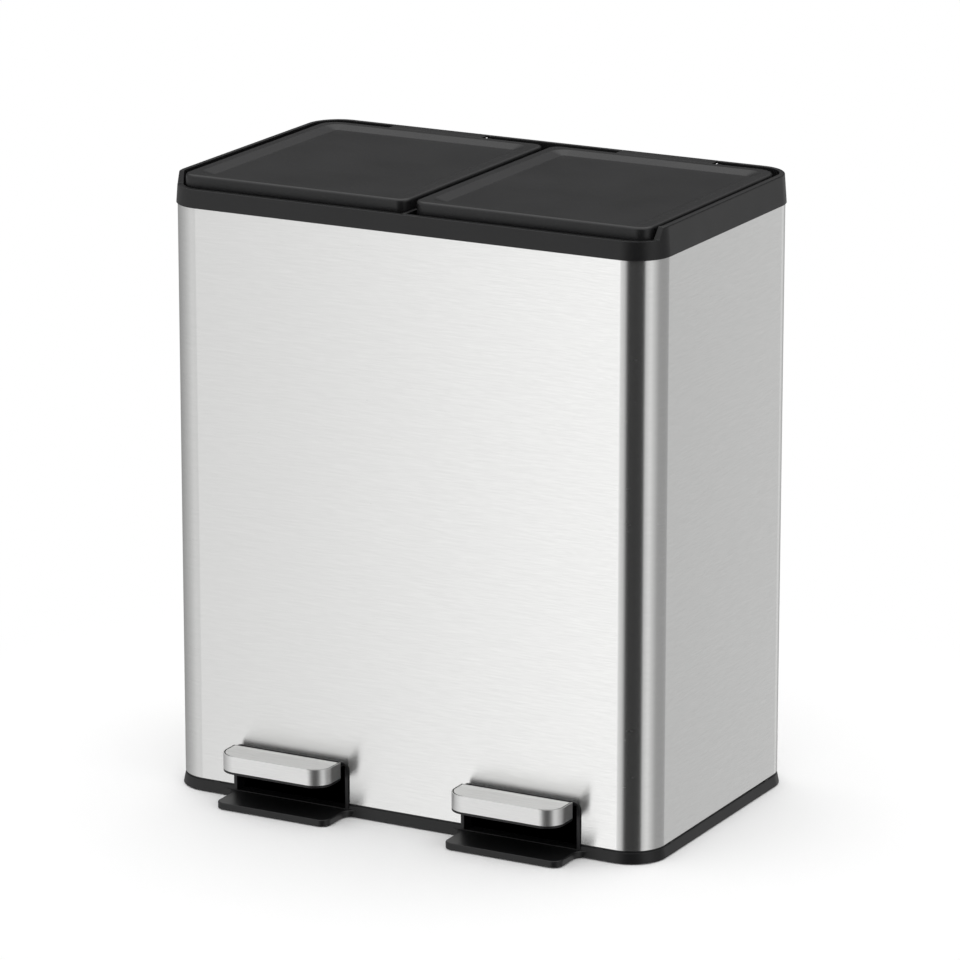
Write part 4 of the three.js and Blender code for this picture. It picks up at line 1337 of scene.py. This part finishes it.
    def crank_arm(self) -> list[bpy.types.Object]:
        """The crank that the push rod turns, and its web up to the tongue."""
        x, half = self.plan.side_centre, self.crank_half
        y, z = self.plan.hinge
        radius, _, _, end = self.crank
        web = block("crank_web", (x - half, self.crank_web_front, z),
                    (x + half, y + self.knuckle[0], self.top - 1))
        return [*self.crank_strip(0, end, radius, 2 * half, 40), web]

    def crank_slot(self) -> bpy.types.Object:
        """The slot in the crank that lets the rod stay upright."""
        _, radius, start, end = self.crank
        near, middle, far = self.crank_strip(start, end, radius, 4 * self.crank_half, 24)
        return join(middle, near, far)

    def build_liner(self) -> bpy.types.Object:
        """Models the inner panel, with a shallow tray pressed into its underside."""
        low, high, inset = self.liner
        piece = plate("lid_liner_right", (self.low[0] + inset, self.low[1] + inset, low),
                      (self.high[0] - inset, self.high[1] - self.liner_rear, high),
                      self.liner_corners, segments=10)
        side, rear, depth = self.tray
        tray = drafted("tray", (self.low[0] + side, self.low[1] + side, low - PAST),
                       (self.high[0] - side, self.high[1] - rear, low + depth), self.tray_corner,
                       self.tray_draft, 0, segments=10)
        return cut(piece, tray)


@dataclass
class Hinge:
    """What stands at one lid's hinge and front: the pin, the damper and the two rubber buttons."""

    plan: Plan
    pin_radius: float = 2.25
    pin_half: float = 53.7
    damper: tuple[float, float, float] = (5.2, 31.65, 44.65)
    damper_gap: float = 0.25
    tab_reach: float = 4.0
    tab_span: Pair = (5.0, 3.6)
    tab_half: float = 1.5
    cap_line: tuple[float, float, float] = (3.0, 0.5, 0.3)
    buffer: tuple[float, float, float, float] = (3.5, 624.3, 634.7, -151.8)
    buffer_dome: float = 1.4
    buffer_spread: float = 90.0

    def build_pin(self) -> bpy.types.Object:
        """Models the pin."""
        return bar("hinge_pin", Axis.X, (self.plan.side_centre, *self.plan.hinge), self.pin_radius,
                   2 * self.pin_half)

    def build_damper(self) -> bpy.types.Object:
        """Models the barrel damper with its cap line, tab and bore."""
        radius, start, end = self.damper
        x = self.plan.side_centre
        y, z = self.plan.hinge
        piece = bar("lid_damper", Axis.X, (x + (start + end) / 2, y, z), radius, end - start,
                    sides=48)
        join(piece, block("tab", (x + end - 1, y - self.tab_span[0], z - self.tab_half),
                          (x + end + self.tab_reach, y - self.tab_span[1], z + self.tab_half)))
        back, width, depth = self.cap_line
        line = (x + end - back, y, z)
        ring = cut(bar("ring", Axis.X, line, radius + PAST, width, sides=48),
                   bar("ring_inside", Axis.X, line, radius - depth, 2 * width, sides=48))
        bore = bar("bore", Axis.X, (x + end - 6, y, z), self.pin_radius + self.damper_gap, 20,
                   sides=24)
        return cut(piece, ring, bore)

    def build_buffer(self, offset: float) -> bpy.types.Object:
        """Models one rubber button, domed at the top.

        Args:
            offset: How far it stands from the half's centre, along X.

        Returns:
            The new piece.
        """
        radius, low, high, y = self.buffer
        piece = bar("buffer", Axis.Z, (self.plan.side_centre + offset, y, (low + high) / 2), radius,
                    high - low)
        return round_loop(piece, high, self.buffer_dome, segments=4)


# ------------------------------------------------------------------------------------------------
# Pedals, levers and rods
# ------------------------------------------------------------------------------------------------


@dataclass
class Screw:
    """A pan-head screw, head down, with a cross recess and its thread's crests."""

    head_top: float
    head_radius: float = 4.0
    head_height: float = 2.4
    head_round: float = 1.2
    shank_radius: float = 1.3
    shank_length: float = 10.3
    crest_radius: float = 1.72
    crest_width: float = 0.5
    crest_start: float = 1.4
    crest_pitch: float = 1.1
    crests: int = 7
    recess: Pair = (1.9, 0.4)
    recess_depth: float = 1.1

    def build(self, x: float, y: float) -> bpy.types.Object:
        """Models the screw.

        Args:
            x: Where it stands, along X.
            y: Where it stands, along Y.

        Returns:
            The new piece.
        """
        under = self.head_top - self.head_height
        piece = bar("screw", Axis.Z, (x, y, self.head_top - self.head_height / 2),
                    self.head_radius, self.head_height, sides=40)
        round_loop(piece, under, self.head_round, segments=4)
        low, high = self.head_top - 1, self.head_top + self.shank_length
        shank = bar("shank", Axis.Z, (x, y, (low + high) / 2), self.shank_radius, high - low,
                    sides=24)
        first = self.head_top + self.crest_start
        crests = [bar("crest", Axis.Z, (x, y, first + turn * self.crest_pitch), self.crest_radius,
                      self.crest_width, sides=24) for turn in range(self.crests)]
        join(piece, shank, *crests)
        long, short = self.recess
        return cut(piece, *[block("recess", (x - a, y - b, under - PAST),
                                  (x + a, y + b, under + self.recess_depth))
                            for a, b in ((long, short), (short, long))])


@dataclass
class Pedal:
    """One pedal: the folded steel cap, the black body under it and the screws from below."""

    plan: Plan
    half: float = 63.0
    front: float = -209.5
    rear: float = -172.7
    corner: float = 20.0
    top: float = 60.0
    cap_bottom: float = 43.0
    body_bottom: float = 40.5
    sheet: float = 1.0
    slot: float = 1.2
    rib: float = 1.8
    fold_edge: float = 0.9
    crease: float = 5.0
    crease_half: float = 0.3
    body_inset: float = 0.2
    room_inset: float = 4.0
    cell_start: float = 18.0
    cell_inset: float = 5.5
    cell_margin: float = 4.0
    screw_bore: Pair = (2.0, 9.0)
    screw_spread: float = 8.0
    screw_drop: float = 2.8
    lever_top: float = 48.5

    def outline(self, name: str, inset: float, bottom: float, top: float,
                rear: float | None = None, segments: int = 20) -> bpy.types.Object:
        """A block on the pedal's plan, drawn in from its front and ends.

        Args:
            name: The piece's name.
            inset: How far it is drawn in.
            bottom: Its lowest height.
            top: Its highest height.
            rear: Its rear, along Y, if that isn't the pedal's.
            segments: How many segments each front corner gets.

        Returns:
            The new piece.
        """
        x = self.plan.side_centre
        corner = self.corner - inset
        return plate(name, (x - self.half + inset, self.front + inset, bottom),
                     (x + self.half - inset, self.rear if rear is None else rear, top),
                     (corner, corner, 0, 0), segments)

    def build_cap(self) -> bpy.types.Object:
        """Models the band round the front and ends, and the plate folded back over the top."""
        x, straight = self.plan.side_centre, self.half - self.corner
        piece = self.outline("pedal_cap_right", 0, self.cap_bottom, self.top)
        cut(piece, self.outline("band_inside", self.sheet, self.cap_bottom - PAST, self.top + PAST,
                                self.rear + PAST))
        top_plate = self.outline("top_plate", self.sheet + self.slot, self.top - self.sheet,
                                 self.top, self.rear - self.rib)
        fold = block("fold", (x - straight, self.front + self.sheet / 2, self.top - self.sheet),
                     (x + straight, self.front + self.corner, self.top))
        join(piece, join(top_plate, fold))
        level = level_at(self.top)
        with Edit(piece) as edit:
            edit.edges(lambda a, b: level(a, b) and abs(a.y - self.front) < NEAR
                       and abs(b.y - self.front) < NEAR)
            edit.bevel(self.fold_edge, segments=4)
        line, half = self.rear - self.rib - self.crease, self.crease_half
        return cut(piece, block("crease", (x - self.half, line - half, self.top - half),
                                (x + self.half, line + half, self.top + PAST)))

    def build_body(self) -> bpy.types.Object:
        """Models the black body: a lip below the cap, a core inside it, and the lever's room."""
        x, fit = self.plan.side_centre, self.plan.fit
        piece = self.outline("pedal_body_right", self.body_inset, self.body_bottom,
                             self.cap_bottom - fit)
        core = self.outline("core", self.sheet + fit, self.body_bottom, self.top - fit)
        join(piece, core)
        seat = self.top - self.sheet - fit
        straight = self.half - self.corner + fit
        plate_seat = self.outline("plate_seat", self.sheet + self.slot - fit, seat, self.top + PAST,
                                  self.rear - self.rib + fit)
        fold_seat = block("fold_seat", (x - straight, self.front, seat),
                          (x + straight, self.front + self.corner, self.top + PAST))
        room = self.outline("room", self.room_inset, self.body_bottom - PAST, self.lever_top + fit,
                            self.rear + PAST)
        inset, margin = self.cell_inset, self.cell_margin
        cell = plate("cell", (x + self.cell_start, self.front + inset, self.lever_top - PAST),
                     (x + self.half - inset, self.rear - margin, self.top - margin),
                     (0, self.corner - inset, 0, 0), segments=10)
        radius, depth = self.screw_bore
        bores = [bar("bore", Axis.Z, (x, y, self.lever_top + depth / 2), radius, depth, sides=20)
                 for y in self.screw_places()]
        return cut(piece, plate_seat, fold_seat, room, *both_ways(cell, x), *bores)

    def screw_places(self) -> tuple[float, float]:
        """Where the front and the rear screw stand, along Y."""
        middle = (self.front + self.rear) / 2
        return middle - self.screw_spread, middle + self.screw_spread

    def build_screw(self, y: float) -> bpy.types.Object:
        """Models the screw that stands at one place along Y, under the lever."""
        return Screw(self.lever_top - self.screw_drop).build(self.plan.side_centre, y)

    @staticmethod
    def paint_top_shade_and_grain(cap: bpy.types.Object, level: float = 0.8) -> None:
        """Gives the cap's level faces the darker steel, painted shade, with the grain running along the
        pedal.

        Args:
            cap: The finished cap.
            level: A face is level if its normal has more than this along Z.
        """
        cap.data.materials.append(PEDAL_TOP_STEEL_PAINTED_SHADE.material())
        with Edit(cap) as edit:
            edit.faces(lambda centre, normal: abs(normal.z) > level)
            cap.active_material_index = 1
            bpy.ops.object.material_slot_assign()


@dataclass
class LeverWork:
    """What links a pedal to its lid: lever, axle, retainers, push rod and the rod's cover."""

    plan: Plan
    half: float = 14.0
    sheet: float = 2.5
    top: float = 48.5
    tip: float = -204.8
    tip_depth: float = 7.0
    front_depth: float = 12.0
    axle_depth: float = 8.0
    eye_depth: float = 6.5
    end_reach: float = 6.0
    web_gap: float = 16.0
    gap: float = 0.25
    eye_gap: float = 0.7
    screw_hole_radius: float = 2.25
    retainer: tuple[float, float, float] = (6.0, 19.8, 22.3)
    retainer_slot: Pair = (4.4, 0.5)
    axle: Pair = (3.0, 23.3)
    axle_mark: Pair = (1.8, 0.5)
    rod_radius: float = 2.0
    rod_ends: Pair = (26.16, 632.16)
    rod_reach: Pair = (150.3, 138.3)
    rod_bend: float = 5.0
    cover: tuple[float, float, float, float] = (9.0, 1.5, 63.3, 618.7)
    cover_front: float = 7.0
    cover_edge: float = 2.0

    def side_view(self, lowered: float) -> list[Pair]:
        """The lever's side view, deepest at the axle and shallow at both ends.

        Args:
            lowered: How far the view is moved down.

        Returns:
            Its points, in Y and Z.
        """
        y, z = self.plan.pivot
        eye, end, front = self.rod_ends[0], self.plan.rod_y + self.end_reach, -self.plan.half_depth
        corners = [(self.tip, self.top - self.tip_depth, 3), (front, self.top - self.front_depth, 30),
                   (y, z - self.axle_depth, 60), (end, eye - self.eye_depth, 5),
                   (end, eye + self.eye_depth, 5), (y, z + self.axle_depth, 200),
                   (front, self.top, 60), (self.tip, self.top, 0)]
        return rounded([(a, b - lowered, radius) for a, b, radius in corners])

    def build_lever(self) -> bpy.types.Object:
        """Models the pressed channel: a web over two flanges, with its holes."""
        x, y, half, aside = self.plan.side_centre, self.plan.rod_y, self.half, 30
        web = extruded("pedal_lever", self.side_view(0), Axis.X, x - half + 1, x + half - 1)
        rear = block("rear", (x - aside, y - self.web_gap, 0), (x + aside, y + aside, 70))
        cut(web, extruded("under", self.side_view(self.sheet), Axis.X, x - aside, x + aside), rear)
        flange = extruded("flange", self.side_view(0), Axis.X, x + half - self.sheet, x + half)
        join(web, *both_ways(flange, x))
        axle_hole = bar("axle_hole", Axis.X, (x, *self.plan.pivot), self.axle[0] + self.gap, 40)
        eye = bar("eye", Axis.X, (x + 10, y, self.rod_ends[0]), self.rod_radius + self.eye_gap, 20,
                  sides=24)
        screws = [bar("hole", Axis.Z, (x, place, self.top), self.screw_hole_radius, 12, sides=24)
                  for place in Pedal(self.plan).screw_places()]
        return cut(web, axle_hole, eye, *screws)

    def build_axle(self) -> bpy.types.Object:
        """Models the axle, with a shallow centre mark in each end."""
        radius, half = self.axle
        inset, depth = self.axle_mark
        piece = bar("lever_axle", Axis.X, (self.plan.side_centre, *self.plan.pivot), radius,
                    2 * half, sides=40)
        with Edit(piece) as edit:
            edit.faces(lambda centre, normal: abs(normal.x) > SQUARE)
            bpy.ops.mesh.inset(thickness=inset * MM, depth=-depth * MM, use_individual=True)
        return piece

    def build_retainer(self, end: int) -> bpy.types.Object:
        """Models one push-on retainer, split by the slots that let its teeth grip.

        Args:
            end: 1 for the bin's outside and -1 for its middle.

        Returns:
            The new piece.
        """
        radius, near, far = self.retainer
        y, z = self.plan.pivot
        x = self.plan.side_centre + end * (near + far) / 2
        piece = bar("axle_retainer", Axis.X, (x, y, z), radius, far - near, sides=48)
        bore = bar("bore", Axis.X, (x, y, z), self.axle[0] + self.gap, 10)
        long, short = self.retainer_slot
        return cut(piece, bore, *[block("slot", (x - 5, y - a, z - b), (x + 5, y + a, z + b))
                                  for a, b in ((long, short), (short, long))])

    def build_rod(self) -> bpy.types.Object:
        """Draws the wire from its lower end through two bends to its upper end."""
        low, high = self.rod_ends
        start, end = self.rod_reach
        y, bend, x = self.plan.rod_y, self.rod_bend, self.plan.rod_x + self.rod_bend
        bpy.ops.object.select_all(action="DESELECT")
        bpy.ops.mesh.primitive_circle_add(vertices=24, radius=self.rod_radius * MM,
                                          fill_type="NOTHING", location=to_frame(start, y, low),
                                          rotation=Axis.X.value)
        piece = settle(bpy.context.object)
        piece.name = piece.data.name = "push_rod"
        with Edit(piece) as edit:
            bpy.ops.mesh.select_all(action="SELECT")
            bpy.ops.mesh.edge_face_add()
            self.draw((x - start, 0, 0))
            self.bend_wire((x, y, low + bend))
            self.draw((0, 0, high - low - 2 * bend))
            self.bend_wire((x, y, high - bend))
            self.draw((end - x, 0, 0))
            bpy.ops.mesh.select_all(action="SELECT")
            bpy.ops.mesh.remove_doubles(threshold=MERGE * MM)
            edit.turn_outwards()
        return piece

    @staticmethod
    def draw(step: Point) -> None:
        """Draws the selected end of the wire on by a step in millimetres."""
        bpy.ops.mesh.extrude_region_move(TRANSFORM_OT_translate={"value": Vector(step) * MM})

    @staticmethod
    def bend_wire(centre: Point) -> None:
        """Bends the selected end of the wire by a right angle about a centre in millimetres."""
        bpy.ops.mesh.spin(steps=8, angle=-math.pi / 2, center=to_frame(*centre), axis=(0, 1, 0))

    def build_cover(self) -> bpy.types.Object:
        """Models the channel that keeps the bucket off the rod."""
        x, inside = self.plan.rod_x, self.plan.rod_y - self.cover_front
        half, wall, low, high = self.cover
        front, rear = inside - wall, self.plan.half_depth - self.plan.sheet - self.plan.fit
        piece = block("rod_cover", (x - half, front, low), (x + half, rear, high))
        with Edit(piece) as edit:
            edit.edges(lambda a, b: abs(a.z - b.z) > ALONG and max(a.y, b.y) < front + NEAR)
            edit.bevel(self.cover_edge, segments=5)
        return cut(piece, block("way", (x - half + wall, inside, low - 3 * PAST),
                                (x + half - wall, rear + PAST, high + 6 * PAST)))


@dataclass
class Foot:
    """One rubber foot, pressed into a post of the base, with a hollow in its sole."""

    plan: Plan
    place: Pair = (232.5, 120.2)
    radius: float = 12.0
    top: float = 4.2
    edge: float = 1.0
    rim: float = 4.0
    hollow: float = 0.8

    def build(self, end: int) -> bpy.types.Object:
        """Models the foot.

        Args:
            end: -1 for the front and 1 for the rear.

        Returns:
            The new piece.
        """
        x, y = self.place[0], end * self.place[1]
        piece = bar("foot", Axis.Z, (x, y, self.top / 2), self.radius, self.top, sides=56)
        with Edit(piece) as edit:
            edit.faces(lambda centre, normal: normal.z < -SQUARE)
            edit.bevel(self.edge, segments=4)
        under = 2 * PAST
        return cut(piece, bar("sole", Axis.Z, (x, y, (self.hollow - under) / 2),
                              self.radius - self.rim, self.hollow + under, sides=48))


@dataclass
class Bucket:
    """One lift-out bucket: drafted walls, a flange on the frame's ledge and two hand grips."""

    plan: Plan
    low: Pair = (6.0, -146.0)
    high: Pair = (262.0, 127.0)
    corner: float = 30.0
    bottom: float = 63.3
    top: float = 628.0
    flange: float = 3.0
    inset: float = 8.0
    draft: float = 14.0
    wall: float = 2.0
    floor: float = 2.5
    flange_edge: float = 1.0
    outer_edge: float = 4.0
    inner_edge: float = 5.0
    grip: tuple[float, float, float, float] = (90.0, 24.0, 612.0, 11.0)

    def build(self) -> bpy.types.Object:
        """Models the right bucket."""
        inset, corner = self.inset, self.corner - self.inset
        low = (self.low[0] + inset, self.low[1] + inset)
        high = (self.high[0] - inset, self.high[1] - inset)
        piece = plate("bucket_right", (*self.low, self.top - self.flange), (*self.high, self.top),
                      self.corner, segments=14)
        round_loop(piece, self.top, self.flange_edge, segments=3)
        outside = drafted("outside", (*low, self.bottom), (*high, self.top - self.flange / 2), corner,
                          -self.draft, 0, segments=14)
        round_loop(outside, self.bottom, self.outer_edge, segments=5)
        join(piece, outside)
        inside = drafted("inside", (*low, self.bottom + self.floor), (*high, self.top + PAST),
                         corner, -self.draft - self.wall, -self.wall, segments=14)
        round_loop(inside, self.bottom + self.floor, self.inner_edge, segments=5)
        cut(piece, inside)
        width, height, top, radius = self.grip
        middle = (self.low[0] + self.high[0]) / 2
        grips = block("grips", (middle - width / 2, -170, top - height),
                      (middle + width / 2, 170, top))
        with Edit(grips) as edit:
            edit.edges(lambda a, b: abs(a.y - b.y) > ALONG)
            edit.bevel(radius, segments=10)
        return cut(piece, grips)


# ------------------------------------------------------------------------------------------------
# Studio
# ------------------------------------------------------------------------------------------------


@dataclass
class Studio:
    """The pale floor, the soft light all round, and the camera."""

    target: Point = (-1.3, -0.7, 326.1)
    turn: float = 28.275
    pitch: float = 15.468
    distance: float = 5831.0
    lens: float = 212.7
    sensor: float = 36.0
    # In metres: the floor's width, and how far out its run into white starts and ends.
    floor_size: float = 30.0
    floor_fade: Pair = (0.3, 0.75)
    # The paper's grain, in spots per metre, and its tones.
    paper_grain: float = 400.0
    paper_tones: Pair = (0.96, 1.0)
    # How bright the wall behind is low down and high up. Where it changes, and where it comes in
    # rearwards and upwards, are parts of a direction of length 1, as is the ceiling's start.
    wall_levels: Pair = (0.07, 0.76)
    wall_rise: Pair = (0.25, 0.75)
    wall_start: Pair = (0.1, 0.5)
    wall_foot: Pair = (-0.05, 0.1)
    ceiling: float = 1.7
    ceiling_start: Pair = (0.5, 0.9)
    # The even light that matt surfaces get from all round.
    soft_level: float = 1.1
    # How bright the surroundings are, at angles in degrees round from the front.
    ring: tuple[Pair, ...] = (
        (-180, 0.45), (-130, 0.33), (-106, 0.40), (-78, 0.54), (-50, 0.76), (-38, 0.74),
        (-31.5, 0.64), (-28.5, 1.06), (-26, 1.62), (-24.5, 1.55), (-21, 0.76), (-8, 0.64),
        (-2, 0.4), (2, 0.03), (55, 0.03), (58, 0.62), (76, 0.84), (90, 0.60), (105, 0.38),
        (130, 0.37), (152, 0.40), (154.5, 0.83), (158, 0.80), (170, 0.75), (180, 0.45))
    # The level that the full end of the ring's colour ramp stands for.
    ring_full: float = 2.0

    def build_camera(self) -> None:
        """Sets the camera at the photograph's angle."""
        data = bpy.data.cameras.new("camera")
        camera = bpy.data.objects.new("camera", data)
        bpy.context.scene.collection.objects.link(camera)
        turn, pitch = math.radians(self.turn), math.radians(self.pitch)
        back = Vector((math.sin(turn) * math.cos(pitch), -math.cos(turn) * math.cos(pitch),
                       math.sin(pitch)))
        data.lens = self.lens
        data.sensor_width = self.sensor
        data.clip_end = 100
        camera.location = to_frame(*self.target) + back * self.distance * MM
        camera.rotation_euler = (-back).to_track_quat("-Z", "Y").to_euler()
        bpy.context.scene.camera = camera

    def build_floor(self) -> None:
        """Lays the pale floor. Past the shadow it runs into the white background."""
        bpy.ops.object.select_all(action="DESELECT")
        bpy.ops.mesh.primitive_plane_add(size=self.floor_size, location=(0, 0, 0))
        floor = bpy.context.object
        floor.name = floor.data.name = "floor"
        floor.visible_glossy = False
        material = bpy.data.materials.new("matt_white_sweep")
        material.use_nodes = True
        tree = material.node_tree
        tree.nodes.clear()
        where = node(tree, "ShaderNodeTexCoord").outputs["Object"]
        away = node(tree, "ShaderNodeVectorMath", {0: where}, operation="LENGTH").outputs["Value"]
        far = rise(tree, away, self.floor_fade)
        grain = node(tree, "ShaderNodeTexNoise", {
            "Vector": where, "Scale": self.paper_grain, "Detail": 2.0})
        tone = node(tree, "ShaderNodeMapRange", {
            "Value": grain.outputs["Fac"], "To Min": self.paper_tones[0],
            "To Max": self.paper_tones[1]})
        paper = node(tree, "ShaderNodeBsdfDiffuse", {"Color": tone.outputs["Result"]})
        white = node(tree, "ShaderNodeEmission", {"Color": (1, 1, 1, 1), "Strength": 1.0})
        seen = node(tree, "ShaderNodeLightPath").outputs["Is Camera Ray"]
        mix = node(tree, "ShaderNodeMixShader", {
            0: product(tree, far, seen), 1: paper.outputs["BSDF"], 2: white.outputs["Emission"]})
        node(tree, "ShaderNodeOutputMaterial", {"Surface": mix.outputs["Shader"]})
        floor.data.materials.append(material)

    def build_light(self) -> None:
        """Makes the white background and the soft boxes and dark gaps that the metal shows."""
        world = bpy.data.worlds.new("studio")
        bpy.context.scene.world = world
        world.use_nodes = True
        tree = world.node_tree
        tree.nodes.clear()
        where = node(tree, "ShaderNodeTexCoord").outputs["Generated"]
        parts = node(tree, "ShaderNodeSeparateXYZ", {"Vector": where}).outputs
        wall = rise(tree, parts["Z"], self.wall_rise, self.wall_levels)
        behind = product(tree, rise(tree, parts["Y"], self.wall_start),
                         rise(tree, parts["Z"], self.wall_foot))
        level = blend(tree, behind, self.surroundings(tree, parts), wall)
        studio = blend(tree, rise(tree, parts["Z"], self.ceiling_start), level, self.ceiling)
        path = node(tree, "ShaderNodeLightPath").outputs
        soft = blend(tree, path["Is Diffuse Ray"], studio, self.soft_level)
        seen = blend(tree, path["Is Camera Ray"], soft, 1.0)
        sky = node(tree, "ShaderNodeBackground", {"Color": (1, 1, 1, 1), "Strength": seen})
        node(tree, "ShaderNodeOutputWorld", {"Surface": sky.outputs["Background"]})
        bpy.context.scene.view_settings.view_transform = "Standard"

    def surroundings(self, tree: bpy.types.NodeTree,
                     parts: bpy.types.bpy_prop_collection) -> bpy.types.NodeSocket:
        """The ring of soft boxes and dark gaps.

        Args:
            tree: The world's node tree.
            parts: The sockets of the direction's X, Y and Z.

        Returns:
            The socket of the ring's brightness.
        """
        front = product(tree, parts["Y"], -1.0)
        angle = node(tree, "ShaderNodeMath", {0: parts["X"], 1: front}, operation="ARCTAN2")
        share = node(tree, "ShaderNodeMapRange", {
            "Value": angle.outputs["Value"], "From Min": -math.pi, "From Max": math.pi})
        ramp = node(tree, "ShaderNodeValToRGB", {"Fac": share.outputs["Result"]})
        marks = ramp.color_ramp.elements
        while len(marks) > 1:
            marks.remove(marks[-1])
        for i, (degrees, level) in enumerate(self.ring):
            place, part = (degrees + 180) / 360, level / self.ring_full
            mark = marks[0] if i == 0 else marks.new(place)
            mark.position = place
            mark.color = (part, part, part, 1)
        return product(tree, ramp.outputs["Color"], self.ring_full)


# ------------------------------------------------------------------------------------------------
# The bin
# ------------------------------------------------------------------------------------------------


@dataclass
class Bin:
    """The whole bin: the body's mouldings once, and the parts of each half on both sides."""

    plan: Plan = field(default_factory=Plan)

    def build_body(self) -> None:
        """Builds the sheet, the top frame and the base."""
        for part in (SteelBody(self.plan), TopFrame(self.plan), BaseMoulding(self.plan)):
            part.dress(part.build())

    def build_lids(self) -> None:
        """Builds both lids with their inner panels, pins, dampers and buttons."""
        lid, hinge = Lid(self.plan), Hinge(self.plan)
        # The lid's shading stops at the 15.6 degrees by which the field's sides slope.
        self.pair(lid.build(), "lid_cover", LID_ABS, "lid_plastic", 0.3, body="lid", stem="lid",
                  smooth=14.5)
        self.pair(lid.build_liner(), "lid_liner", LID_ABS, "lid_plastic", 0.3, body="lid")
        self.pair(hinge.build_pin(), "hinge_pin", ZINC, "zinc_steel", 0.3)
        self.pair(hinge.build_damper(), "lid_damper", ACETAL, "damper_plastic", 0.3)
        for name, offset in (("inner", -hinge.buffer_spread), ("outer", hinge.buffer_spread)):
            self.pair(hinge.build_buffer(offset), f"lid_buffer_{name}", RUBBER, "black_rubber", 0.2)

    def build_pedals(self) -> None:
        """Builds both pedals with their screws."""
        pedal = Pedal(self.plan)
        caps = self.pair(pedal.build_cap(), "pedal_cap", PEDAL_BAND_STEEL_PAINTED_LIGHT, "brushed_steel", 0.25,
                         body="pedal")
        # The caps' level faces get the darker steel, which is painted shade.
        for cap in caps:
            pedal.paint_top_shade_and_grain(cap)
        self.pair(pedal.build_body(), "pedal_body", FRAME_ABS, "black_plastic", 0.3, body="pedal")
        for name, y in zip(("front", "rear"), pedal.screw_places()):
            self.pair(pedal.build_screw(y), f"pedal_screw_{name}", ZINC, "zinc_steel", 0.1,
                      body="pedal")

    def build_buckets(self) -> None:
        """Builds both buckets."""
        self.pair(Bucket(self.plan).build(), "bucket", BUCKET_PP, "bucket_plastic", 0.5,
                  body="bucket")

    def build_levers(self) -> None:
        """Builds the levers, push rods, axles, retainers and covers of both halves."""
        work = LeverWork(self.plan)
        self.pair(work.build_lever(), "pedal_lever", DIP_PAINT, "painted_steel", 0.35, body="pedal")
        self.pair(work.build_rod(), "push_rod", ZINC, "zinc_steel", 0.3, body="push_rod")
        self.pair(work.build_axle(), "lever_axle", ZINC, "zinc_steel", 0.3)
        for name, end in (("inner", -1), ("outer", 1)):
            self.pair(work.build_retainer(end), f"axle_retainer_{name}", ZINC, "zinc_steel", 0.2)
        self.pair(work.build_cover(), "rod_cover", FRAME_ABS, "black_plastic", 0.2)

    def build_feet(self) -> None:
        """Builds the four feet."""
        foot = Foot(self.plan)
        for name, end in (("front", -1), ("rear", 1)):
            self.pair(foot.build(end), f"foot_{name}", RUBBER, "black_rubber", 0)

    @staticmethod
    def pair(right: bpy.types.Object, name: str, finish: Finish, slot: str, width: float,
             body: str = "", stem: str = "", smooth: float = 40) -> list[bpy.types.Object]:
        """Finishes a piece and its mirror image, and stands them for their nodes.

        Args:
            right: The right piece.
            name: What both are called, before the side.
            finish: Their finish.
            slot: The material slot that they stand for. It is not used.
            width: The width of their broken edges.
            body: What the bodies that they ride on are called, before the side. Without it they
                stay with the bin's body.
            stem: What their nodes are called, before the side, if that isn't the name.
            smooth: The angle in degrees up to which their shading runs on over an edge.

        Returns:
            The right and the left piece.
        """
        left = mirrored(right, f"{name}_piece_{Side.LEFT.label}")
        right.name = right.data.name = f"{name}_piece_{Side.RIGHT.label}"
        for side, piece in zip(Side, (right, left)):
            soften(piece, width, smooth=smooth)
            dress(piece, finish)
            place_piece(piece, f"{body}_{side.label}" if body else "body",
                        f"{stem or name}_{side.label}")
        return [right, left]


def main() -> None:
    """Builds the bin and its studio."""
    logging.basicConfig(level=logging.INFO, format="%(message)s")
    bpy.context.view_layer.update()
    studio = Studio()
    studio.build_camera()
    recycling_bin = Bin()
    recycling_bin.build_body()
    recycling_bin.build_lids()
    recycling_bin.build_pedals()
    recycling_bin.build_buckets()
    recycling_bin.build_levers()
    recycling_bin.build_feet()
    studio.build_floor()
    studio.build_light()


if __name__ == "__main__":
    main()
